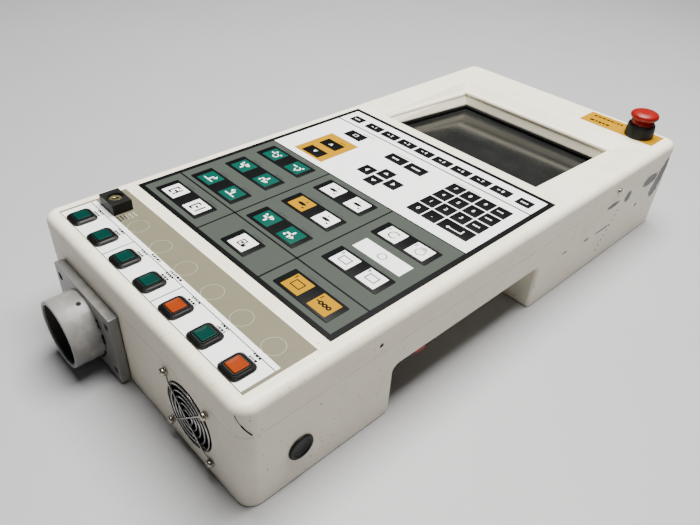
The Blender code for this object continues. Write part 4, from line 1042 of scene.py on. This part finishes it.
CROSS_HEAD = (
    (0.0, 0.45), (0.10, 0.48), (0.20, 0.96), (0.45, 1.0), (0.75, 0.86), (0.93, 0.58), (1.0, 0.25),
    (1.0, 0.0), (0.0, 0.0),
)
CROSS_REACH = 0.58
CROSS_THIN = 0.10
FAN_HEAD = 3.0 * MM
SIDE_HEAD = 2.6 * MM
SOCKET_HEAD = 3.2 * MM
SOCKET_FACE = (
    (0.0, 1.2), (0.50, 1.2), (0.55, 2.8), (0.65, 3.2), (0.9, 3.2), (1.0, 2.8), (1.0, 0.0), (0.0, 0.0),
)


def cross_head(place, radius, height, spin):
    """A pan head with a cross recess, as one closed surface."""
    bm = bmesh.new()
    turn(bm, [(radius * r, height * z) for r, z in CROSS_HEAD], place, 28)
    reach, thin = radius * CROSS_REACH, radius * CROSS_THIN
    corners = [(-reach, -thin), (reach, -thin), (reach, thin), (-reach, thin)]
    for quarter in range(2):
        across = place @ Matrix.Rotation(spin + quarter * math.pi / 2, 4, "Z")
        levels = (height * 0.985, height * 1.015)
        skin(bm, [[across @ Vector((px, py, z)) for px, py in corners] for z in levels])
    return bm


def show_head(kind, index, bm, look):
    name = "{}_{}".format(kind, index)
    show("{}_head_{}".format(kind, index), bm, look, replaced=(name,))


def screws():
    """Pan-head screws of the fan and the case sides, and socket heads in the flange."""
    for i in range(1, 5):
        low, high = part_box("fan_screw_{}".format(i))
        spot = ((low.x + high.x) / 2, low.y + FAN_HEAD, (low.z + high.z) / 2)
        head = cross_head(frame_from((0, -1, 0), spot), (high.x - low.x) / 2, FAN_HEAD, 0.4 * i)
        show_head("fan_screw", i, head, "screw")
        low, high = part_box("flange_screw_{}".format(i))
        spot = ((low.x + high.x) / 2, low.y + SOCKET_HEAD, (low.z + high.z) / 2)
        radius = (high.x - low.x) / 2
        head = bmesh.new()
        turn(head, [(radius * r, z * MM) for r, z in SOCKET_FACE], frame_from((0, -1, 0), spot), 30)
        show_head("flange_screw", i, head, "oiled_steel")
    for i in range(1, 4):
        low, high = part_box("side_screw_{}".format(i))
        side = 1 if high.x > 0 else -1
        seat = (high.x if side > 0 else low.x) - side * SIDE_HEAD
        spot = (seat, (low.y + high.y) / 2, (low.z + high.z) / 2)
        head = cross_head(frame_from((side, 0, 0), spot), (high.y - low.y) / 2, SIDE_HEAD, 0.7)
        show_head("side_screw", i, head, "screw")


# ---- Fan ----


GUARD_WIRE = 0.8 * MM
GUARD_RINGS = (7.0, 13.0, 19.0, 25.0, 31.2)
GUARD_ROD = (-2.0, 33.0)
GUARD_EYE = 30.0
EYE_RADIUS = 3.0
EYE_TOUCH = 2.6


def upright_ring(centre, radius, steps):
    """Points round a centre, in a plane across Y."""
    angles = [math.tau * i / steps for i in range(steps)]
    return [centre + radius * MM * Vector((math.cos(a), 0.0, math.sin(a))) for a in angles]


def fan_guard():
    """Round wires on crossed rods that end in eyes under the screws."""
    low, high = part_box("fan_guard")
    guard = bmesh.new()
    middle = centre_of("fan_guard")
    front = low.y + GUARD_WIRE
    middle.y = front + 2 * GUARD_WIRE
    for radius in GUARD_RINGS:
        wire(guard, upright_ring(middle, radius, 64), GUARD_WIRE, True)
    inner = Vector((middle.x, high.y - GUARD_WIRE, middle.z))
    forward = Vector((0.0, front - inner.y, 0.0))
    for sx in (-1, 1):
        for sz in (-1, 1):
            hub = inner + GUARD_EYE * MM * Vector((sx, 0.0, sz))
            out = (hub - inner).normalized() * MM
            rod = [inner + out * reach + forward for reach in GUARD_ROD]
            wire(guard, [*rod, hub - out * EYE_TOUCH], GUARD_WIRE)
            wire(guard, upright_ring(hub, EYE_RADIUS, 24), GUARD_WIRE, True)
    show("fan_guard_wires", guard, "chrome", smooth=80, replaced=("fan_guard",))


HUB_FACE = ((0.0, -0.6), (8.5, -0.6), (8.8, 0.0), (11.8, 0.0), (12.8, -1.0), (13.0, -2.2))
BLADES = 7
BLADE_STEPS = 8
BLADE_ROOT = 12.2 * MM
BLADE_REACH = 30.5 * MM
BLADE_SWEEP = 0.35
BLADE_HALF = 4.2 * MM
BLADE_BELLY = 0.9 * MM
BLADE_THICK = 0.5 * MM
BLADE_FLATTEN = 0.85
BLADE_PITCH = (46, -10)


def blade_section(centre, first, along):
    """Four corners of a blade, so far along from its root to its tip."""
    radius = BLADE_ROOT + (BLADE_REACH - BLADE_ROOT) * along
    sweep = first + BLADE_SWEEP * along
    half = BLADE_HALF + BLADE_BELLY * math.sin(math.pi * along)
    pitch = math.radians(BLADE_PITCH[0] + BLADE_PITCH[1] * along)
    ring = []
    for side, thick in ((-1, -1), (1, -1), (1, 1), (-1, 1)):
        angle = sweep + side * half * math.cos(pitch) / radius
        y = centre.y + side * half * math.sin(pitch) * BLADE_FLATTEN + thick * BLADE_THICK
        ring.append((centre.x + radius * math.cos(angle), y, centre.z + radius * math.sin(angle)))
    return ring


def fan_rotor():
    """Hub with a round label recess and curved blades."""
    low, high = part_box("fan_rotor")
    centre = centre_of("fan_rotor")
    bm = bmesh.new()
    face = profile(HUB_FACE, height=high.y - low.y) + profile(((13.0, 0.0), (0.0, 0.0)))
    turn(bm, face, frame_from((0, -1, 0), (centre.x, high.y, centre.z)))
    for blade in range(BLADES):
        first = math.tau * blade / BLADES
        skin(bm, [blade_section(centre, first, i / BLADE_STEPS) for i in range(BLADE_STEPS + 1)])
    show("fan_blades", bm, "black", "fan_rotor", 50, ("fan_rotor",))


# ---- Emergency stop and key switch ----


COLLAR_LIFT = 0.3 * MM
COLLAR_FOOT = ((17.2, 0.0), (17.7, 0.6), (17.6, 3.0))
COLLAR_RIM = (
    (16.8, -3.0), (16.4, -0.8), (15.6, 0.0), (14.7, 0.0), (14.47, -0.8), (14.47, -7.0), (15.0, -7.0),
)
COLLAR_BASE = ((15.0, 0.0), (17.2, 0.0))
COLLAR_RIBS = 36
RIB_INSET = 3.5 * MM
RIB_RADII = (17.2 * MM, 16.5 * MM)
RIB_WIRE = 0.5 * MM
HEAD_FACE = (
    (0.0, -0.4), (4.0, -0.3), (8.5, -0.4), (9.8, -0.2), (10.8, -0.7), (14.0, -1.6), (15.8, -2.6),
)
HEAD_EDGE = ((-0.6, -3.8), (0.0, -5.2), (-0.2, -7.0), (-1.2, -8.2))
HEAD_NECK = ((14.6, -9.6),)
HEAD_BASE = ((14.0, 0.0), (0.0, 0.0))
ARC_RADIUS = 7.2 * MM
ARC_WIDTH = 0.7 * MM
ARC_HALF_HEIGHT = 0.3 * MM
ARC_SINK = 0.7 * MM
ARC_SWEEP = (15.0, 110.0)


def emergency_stop():
    """Ribbed collar, and the mushroom head with two slim raised arcs in its face."""
    head_low, head_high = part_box("estop_head")
    centre = ((head_low.x + head_high.x) / 2, (head_low.y + head_high.y) / 2)
    base = PRINT_Z + COLLAR_LIFT
    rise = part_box("estop_collar")[1].z - base
    collar = bmesh.new()
    outline = profile(COLLAR_FOOT) + profile(COLLAR_RIM, height=rise) + profile(COLLAR_BASE)
    turn(collar, outline, Matrix.Translation((*centre, base)), 72)
    for i in range(COLLAR_RIBS):
        angle = math.tau * i / COLLAR_RIBS
        out = Vector((math.cos(angle), math.sin(angle), 0))
        start = Vector((*centre, base + RIB_INSET)) + out * RIB_RADII[0]
        end = Vector((*centre, base + rise - RIB_INSET)) + out * RIB_RADII[1]
        wire(collar, [start, end], RIB_WIRE, sides=6)
    show("estop_collar_ribbed", collar, "black", smooth=45)
    head = bmesh.new()
    radius = (head_high.x - head_low.x) / 2
    height = head_high.z - head_low.z
    outline = profile(HEAD_FACE, height=height) + profile(HEAD_EDGE, radius, height)
    outline += profile(HEAD_NECK, height=height) + profile(HEAD_BASE)
    turn(head, outline, Matrix.Translation((*centre, head_low.z)), 72)
    z = head_high.z - ARC_SINK
    for turned in (0.0, 180.0):
        levels = (z - ARC_HALF_HEIGHT, z + ARC_HALF_HEIGHT)
        ring_print(head, centre, ARC_RADIUS, ARC_WIDTH, *levels, turned + ARC_SWEEP[0], ARC_SWEEP[1], 14)
    show("estop_mushroom", head, "red", "estop_head", 50, ("estop_head",))


KEY_RING_FOOT = ((7.0, 0.1),)
KEY_RING = ((7.0, -0.6), (7.4, 0.1), (8.2, 0.3), (8.8, 0.1), (8.9, -0.4))
KEY_RING_BASE = ((8.9, -0.2), (7.0, 0.1))
KEY_FACE = (
    (0.0, 0.1), (2.8, 0.1), (3.1, 0.6), (4.6, 0.7), (5.0, 0.3), (6.2, 0.2), (6.4, -0.3), (6.4, -3.0),
    (0.0, -3.0),
)
KEY_SLOT_SHADE = (-0.8, 0.8, -3.6, 3.0)
KEY_SLOT_SHADE_LEVELS = (-1.0, 0.75)


def key_switch():
    """Black ring round the lock, the brass face that turns, and a black bar of painted shade where its key
    slot opens.
    """
    barrel_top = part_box("key_barrel")[1].z
    centre = centre_of("key_barrel")
    place = Matrix.Translation((centre.x, centre.y, barrel_top))
    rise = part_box("key_switch_body")[1].z - barrel_top
    ring = bmesh.new()
    outline = profile(KEY_RING_FOOT) + profile(KEY_RING, height=rise) + profile(KEY_RING_BASE)
    turn(ring, outline, place)
    show("key_ring", ring, "bezel")
    face = bmesh.new()
    turn(face, profile(KEY_FACE), place)
    show("key_face", face, "brass", "key")
    # Painted shade: a black bar standing proud of the brass face where the key slot opens, in place of the
    # slot's dark inside.
    slot = bmesh.new()
    left, right, near, far = (value * MM for value in KEY_SLOT_SHADE)
    rect = (centre.x + left, centre.x + right, centre.y + near, centre.y + far)
    pad(slot, rect, *(barrel_top + level * MM for level in KEY_SLOT_SHADE_LEVELS), 0.4 * MM)
    show("key_slot", slot, "black", "key")


# ---- Flange, tube and side plug ----


TUBE_WALL = 4.0 * MM
TUBE_LIP = ((0.0, -1.0), (-0.3, -0.3), (-1.0, 0.0))
TUBE_MOUTH = ((1.0, 0.0), (0.2, -0.5), (0.0, -1.5))
LINER_GAP = 0.08 * MM
LINER_THICK = 0.4 * MM
LINER_ENDS = (0.5 * MM, 2.0 * MM)
SET_SCREW = ((0.0, 0.3), (2.1, 0.3), (2.5, 0.1), (2.5, -0.6), (0.0, -0.6))
SET_SCREW_SIDE = 10.0 * MM
SET_SCREW_BACK = 11.5 * MM
SET_SCREW_SINK = 0.2 * MM
BEAD_STRANDS = 30
BEAD_STEPS = 3


def tube_and_plate():
    """Cable tube with a chamfered mouth, the stain in its bore, and its set screw."""
    low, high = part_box("cable_tube")
    centre = centre_of("cable_tube")
    length = high.y - low.y
    outer = (high.x - low.x) / 2
    inner = outer - TUBE_WALL
    place = frame_from((0, -1, 0), (centre.x, high.y, centre.z))
    tube = bmesh.new()
    outline = profile(TUBE_LIP, outer, length) + profile(TUBE_MOUTH, inner, length)
    turn(tube, [(outer, 0.0), *outline, (inner, 0.0), (outer, 0.0)], place, 96)
    liner = bmesh.new()
    deep, lip = LINER_ENDS[0], length - LINER_ENDS[1]
    wide, narrow = inner - LINER_GAP, inner - LINER_THICK
    turn(liner, [(wide, deep), (wide, lip), (narrow, lip), (narrow, deep), (wide, deep)], place, 96)
    show("tube_bore_stain", liner, "liner")
    hole = bmesh.new()
    up = math.sqrt(outer ** 2 - SET_SCREW_SIDE ** 2) - SET_SCREW_SINK
    spot = (centre.x + SET_SCREW_SIDE, high.y - SET_SCREW_BACK, centre.z + up)
    turn(hole, profile(SET_SCREW), frame_from((0.25, 0, 1), spot), 20)
    show("tube_set_screw", hole, "sealant")
    show("tube_body", tube, "enamel", replaced=("cable_tube",))
    joint_sealant(Vector((centre.x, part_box("cable_flange")[0].y, centre.z)), outer)


def joint_sealant(centre, outer):
    """Ragged strands of sealant round the top of the tube, against the flange plate."""
    bead = bmesh.new()
    draw = random.Random(3)
    for _ in range(BEAD_STRANDS):
        first = math.radians(draw.uniform(-72.0, 36.0))
        bow = math.radians(draw.uniform(2.0, 7.0))
        radius = outer + draw.uniform(0.1, 1.6) * MM
        lift = draw.uniform(0.0, 1.6) * MM
        points = []
        for step in range(BEAD_STEPS + 1):
            along = step / BEAD_STEPS
            angle = first + bow * along
            offset = Vector((radius * math.cos(angle), -lift * along, radius * math.sin(angle)))
            points.append(centre + offset)
        wire(bead, points, draw.uniform(0.3, 1.0) * MM, sides=7)
    show("joint_sealant", bead, "sealant")


PLUG_DEPTH = 2.0 * MM
PLUG_FACE = (
    (0.0, 0.7), (6.0, 0.7), (6.4, 1.0), (8.8, 1.0), (9.2, 1.6), (9.8, 2.0), (11.2, 2.0), (12.2, 1.5),
)
PLUG_EDGE = ((0.0, 0.7), (0.0, 0.0))


def side_plug():
    """Dished cap of the round plug in the right side."""
    low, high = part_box("side_plug")
    centre = centre_of("side_plug")
    bm = bmesh.new()
    outline = profile(PLUG_FACE) + profile(PLUG_EDGE, radius=(high.y - low.y) / 2) + [(0.0, 0.0)]
    turn(bm, outline, frame_from((1, 0, 0), (high.x - PLUG_DEPTH, centre.y, centre.z)), 56)
    show("side_plug_cap", bm, "black", replaced=("side_plug",))


CRACK_STEPS = 13
CRACK_RADIUS = 15.0 * MM
CRACK_LIFT = 0.02 * MM
CRACK_ANGLES = (-66, 46)
CRACK_DROPS = (7.5 * MM, 21.0 * MM)
CRACK_WIRES = (0.26 * MM, 0.62 * MM)
HOLE_SHADE_DEPTH = 1.6 * MM
HOLE_SHADE_DISC = ((0.0, 0.2), (2.4, 0.2), (2.4, -1.0), (0.0, -1.0))
SPECKS = 9
SPECKS_ALONG = (-0.31, -0.18)
SPECKS_UP = (0.02, 0.085)


def corner_crack():
    """The hairline crack at the near right corner of the front shell."""
    points = []
    for i in range(CRACK_STEPS + 1):
        along = i / CRACK_STEPS
        angle = math.radians(CRACK_ANGLES[0] + CRACK_ANGLES[1] * along)
        reach = CRACK_RADIUS + CRACK_LIFT
        x = PANEL_HIGH.x - CRACK_RADIUS + reach * math.cos(angle)
        y = PANEL_LOW.y + CRACK_RADIUS + reach * math.sin(angle)
        points.append((x, y, PANEL_HIGH.z - CRACK_DROPS[0] - CRACK_DROPS[1] * along ** 0.8))
    bm = bmesh.new()
    wire(bm, points[:7], CRACK_WIRES[0], sides=6)
    wire(bm, points[5:], CRACK_WIRES[1], sides=6)
    show("corner_crack", bm, "film_black")


def case_marks():
    """The crack, the empty hole of the missing near screw with a dark disc of painted shade inside it, and
    small dark specks on the side.
    """
    corner_crack()
    right = PANEL_HIGH.x
    # Painted shade: a near-black disc sunk inside the empty screw hole stands in for the hole's dark inside.
    empty = bmesh.new()
    nearest = min((centre_of("side_screw_{}".format(i)) for i in range(1, 4)), key=lambda spot: spot.y)
    turn(empty, profile(HOLE_SHADE_DISC), frame_from((1, 0, 0), (right - HOLE_SHADE_DEPTH, nearest.y, nearest.z)), 20)
    show("screw_hole_painted_shade", empty, "gasket")
    specks = bmesh.new()
    draw = random.Random(21)
    for _ in range(SPECKS):
        spot = (right + 0.01 * MM, draw.uniform(*SPECKS_ALONG), draw.uniform(*SPECKS_UP))
        speck = profile(((0.0, 0.05), (draw.uniform(0.2, 0.6), 0.0), (0.0, -0.2)))
        turn(specks, speck, frame_from((1, 0, 0), spot), 8)
    show("side_specks", specks, "film_black")


RIDGE_NEAR = (0.1188, 0.1130, 0.0018)
RIDGE_FAR = (0.1182, 0.2822, 0.0094)
RIDGE_RADIUS = 0.0040
RIDGE_SINK = 0.0030
RIDGE_BEND = 0.0070


def recess_ridge():
    """The soft cast ridge that runs round the left, far and right slopes of the screen recess."""
    top = PANEL_HIGH.z - RIDGE_SINK
    ends = [Vector((side * RIDGE_NEAR[0], RIDGE_NEAR[1], top - RIDGE_NEAR[2])) for side in (-1, 1)]
    corners = [Vector((side * RIDGE_FAR[0], RIDGE_FAR[1], top - RIDGE_FAR[2])) for side in (-1, 1)]
    route = [ends[0]]
    for corner, before, after in ((corners[0], ends[0], corners[1]), (corners[1], corners[0], ends[1])):
        start = corner + (before - corner).normalized() * RIDGE_BEND
        stop = corner + (after - corner).normalized() * RIDGE_BEND
        for i in range(7):
            t = i / 6
            route.append((1 - t) ** 2 * start + 2 * t * (1 - t) * corner + t ** 2 * stop)
    route.append(ends[1])
    bm = bmesh.new()
    wire(bm, route, RIDGE_RADIUS, sides=28)
    show("recess_ridge", bm, "paint")


# ---- CAD nodes that stay ----


NODE_LOOKS = {
    "front_shell": "paint", "rear_shell": "paint", "case_seal": "gasket", "screen_gasket": "gasket",
    "screen_window": "glass", "display_module": "steel", "display_bracket": "steel",
    "membrane_keypad": "film_black", "control_overlay": "film_brown", "key_switch_body": "black",
    "key_barrel": "brass", "estop_collar": "black", "estop_stem": "red", "estop_contact_block": "pale",
    "estop_label": "film_yellow", "cable_flange": "enamel", "flange_gasket": "joint", "fan_frame": "black",
    "grip_strip": "gasket", "grip_marker": "marker", "main_board": "board", "keypad_board": "board",
    "backlight_board": "board", "power_supply": "steel", "terminal_block": "black",
}


RECESS_REACH = 0.024
RECESS_FLOOR = 4.0 * MM
RECESS_LOWEST = 0.094
RECESS_SHARP = math.radians(7)
RECESS_SOFTENING = 2.2 * MM


def soften_recess(node):
    """Rounds the rim, the ridge and the corners of the screen recess, by weight on their edges."""
    low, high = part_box("screen_gasket")
    mesh = node.data
    weights = mesh.attributes.new("bevel_weight_edge", "FLOAT", "EDGE")
    bm = bmesh.new()
    bm.from_mesh(mesh)
    bm.normal_update()
    facing = {}
    for face in bm.faces:
        for edge in face.edges:
            facing.setdefault(edge_key(edge), []).append(face.normal.copy())
    floor_z = min(high.z - RECESS_FLOOR, RECESS_LOWEST)

    def within(point):
        across = low.x - RECESS_REACH < point.x < high.x + RECESS_REACH
        along = low.y - RECESS_REACH < point.y < high.y + RECESS_REACH
        return across and along and point.z > floor_z

    for edge in bm.edges:
        normals = facing[edge_key(edge)]
        if all(within(v.co) for v in edge.verts) and len(normals) > 1:
            if normals[0].angle(normals[1], 0.0) > RECESS_SHARP:
                weights.data[edge.index].value = 1.0
    bm.free()
    soften(node, "recess", RECESS_SOFTENING, 4, "WEIGHT")


def soften(node, name, width, segments, limit):
    bevel = node.modifiers.new(name, "BEVEL")
    bevel.width = width
    bevel.segments = segments
    bevel.limit_method = limit
    bevel.use_clamp_overlap = True
    return bevel


def edge_key(edge):
    return tuple(sorted(tuple(round(c, 6) for c in v.co) for v in edge.verts))


WELD_DISTANCE = 0.01 * MM
FLAT_ANGLE = math.radians(0.6)
EDGE_SHARP = math.radians(40)
EDGE_SOFTENING = 0.6 * MM
SOFT_NODES = ("front_shell", "rear_shell", "cable_flange", "key_switch_body")


def dress_nodes():
    """New materials on the CAD nodes that are shown, with rounded shading on their facets."""
    for name, look in NODE_LOOKS.items():
        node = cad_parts[name]
        coat(node, look)
        node.data.shade_smooth()
        weld = node.modifiers.new("weld", "WELD")
        weld.merge_threshold = WELD_DISTANCE
        if name == "front_shell":
            flats = node.modifiers.new("flats", "DECIMATE")
            flats.decimate_type = "DISSOLVE"
            flats.angle_limit = FLAT_ANGLE
            soften_recess(node)
        if name in SOFT_NODES:
            edges = soften(node, "edges", EDGE_SOFTENING, 2, "ANGLE")
            edges.angle_limit = EDGE_SHARP
            edges.harden_normals = True
        normals = node.modifiers.new("normals", "WEIGHTED_NORMAL")
        normals.keep_sharp = False


# ---- Stage ----


FLOOR_HALF = 6.0
WORLD_COLOUR = (0.80, 0.84, 0.90, 1.0)
WORLD_STRENGTH = 0.07
LENS = 32.99
CAMERA_SPOT = (0.4173, -0.4750, 0.4746)
CAMERA_RIGHT = (0.6804, 0.7313, 0.0481)
CAMERA_BACK = (0.5626, -0.5632, 0.6052)
LAMPS = (
    ("overhead", (-0.05, 0.35, 2.1), (1.3, 1.5), 182.0),
    ("near_fill", (0.9, -1.7, 1.2), (1.4, 1.2), 1.0),
)
LAMP_COLOUR = (1.0, 0.985, 0.95)


def add_floor():
    bm = bmesh.new()
    bmesh.ops.create_grid(bm, x_segments=1, y_segments=1, size=FLOOR_HALF)
    mesh = bpy.data.meshes.new("floor")
    bm.to_mesh(mesh)
    bm.free()
    floor = bpy.data.objects.new("floor", mesh)
    mesh.materials.append(floor_look())
    bpy.context.scene.collection.objects.link(floor)


def add_light(name, spot, size, power):
    """A warm rectangle of light, aimed at the origin."""
    data = bpy.data.lights.new(name, "AREA")
    data.shape = "RECTANGLE"
    data.size, data.size_y = size
    data.energy = power
    data.color = LAMP_COLOUR
    lamp = bpy.data.objects.new(name, data)
    lamp.location = spot
    lamp.rotation_euler = (-Vector(spot)).to_track_quat("-Z", "Y").to_euler()
    bpy.context.scene.collection.objects.link(lamp)


def add_world():
    world = bpy.data.worlds.new("studio")
    world.use_nodes = True
    shader = world.node_tree.nodes["Background"]
    shader.inputs["Color"].default_value = WORLD_COLOUR
    shader.inputs["Strength"].default_value = WORLD_STRENGTH
    bpy.context.scene.world = world


def add_camera():
    """The camera that was fitted to the photo."""
    data = bpy.data.cameras.new("camera")
    data.sensor_width = 36.0
    data.lens = LENS
    camera = bpy.data.objects.new("camera", data)
    right = Vector(CAMERA_RIGHT).normalized()
    back = Vector(CAMERA_BACK).normalized()
    up = back.cross(right).normalized()
    turn_matrix = Matrix((right, up, back)).transposed().to_4x4()
    camera.matrix_world = Matrix.Translation(CAMERA_SPOT) @ turn_matrix
    bpy.context.scene.collection.objects.link(camera)
    bpy.context.scene.camera = camera


add_camera()
dress_nodes()
printed_keypad()
printed_overlay()
estop_label_print()
push_buttons()
screws()
fan_guard()
fan_rotor()
emergency_stop()
key_switch()
tube_and_plate()
side_plug()
case_marks()
recess_ridge()
add_floor()
add_world()
for lamp in LAMPS:
    add_light(*lamp)
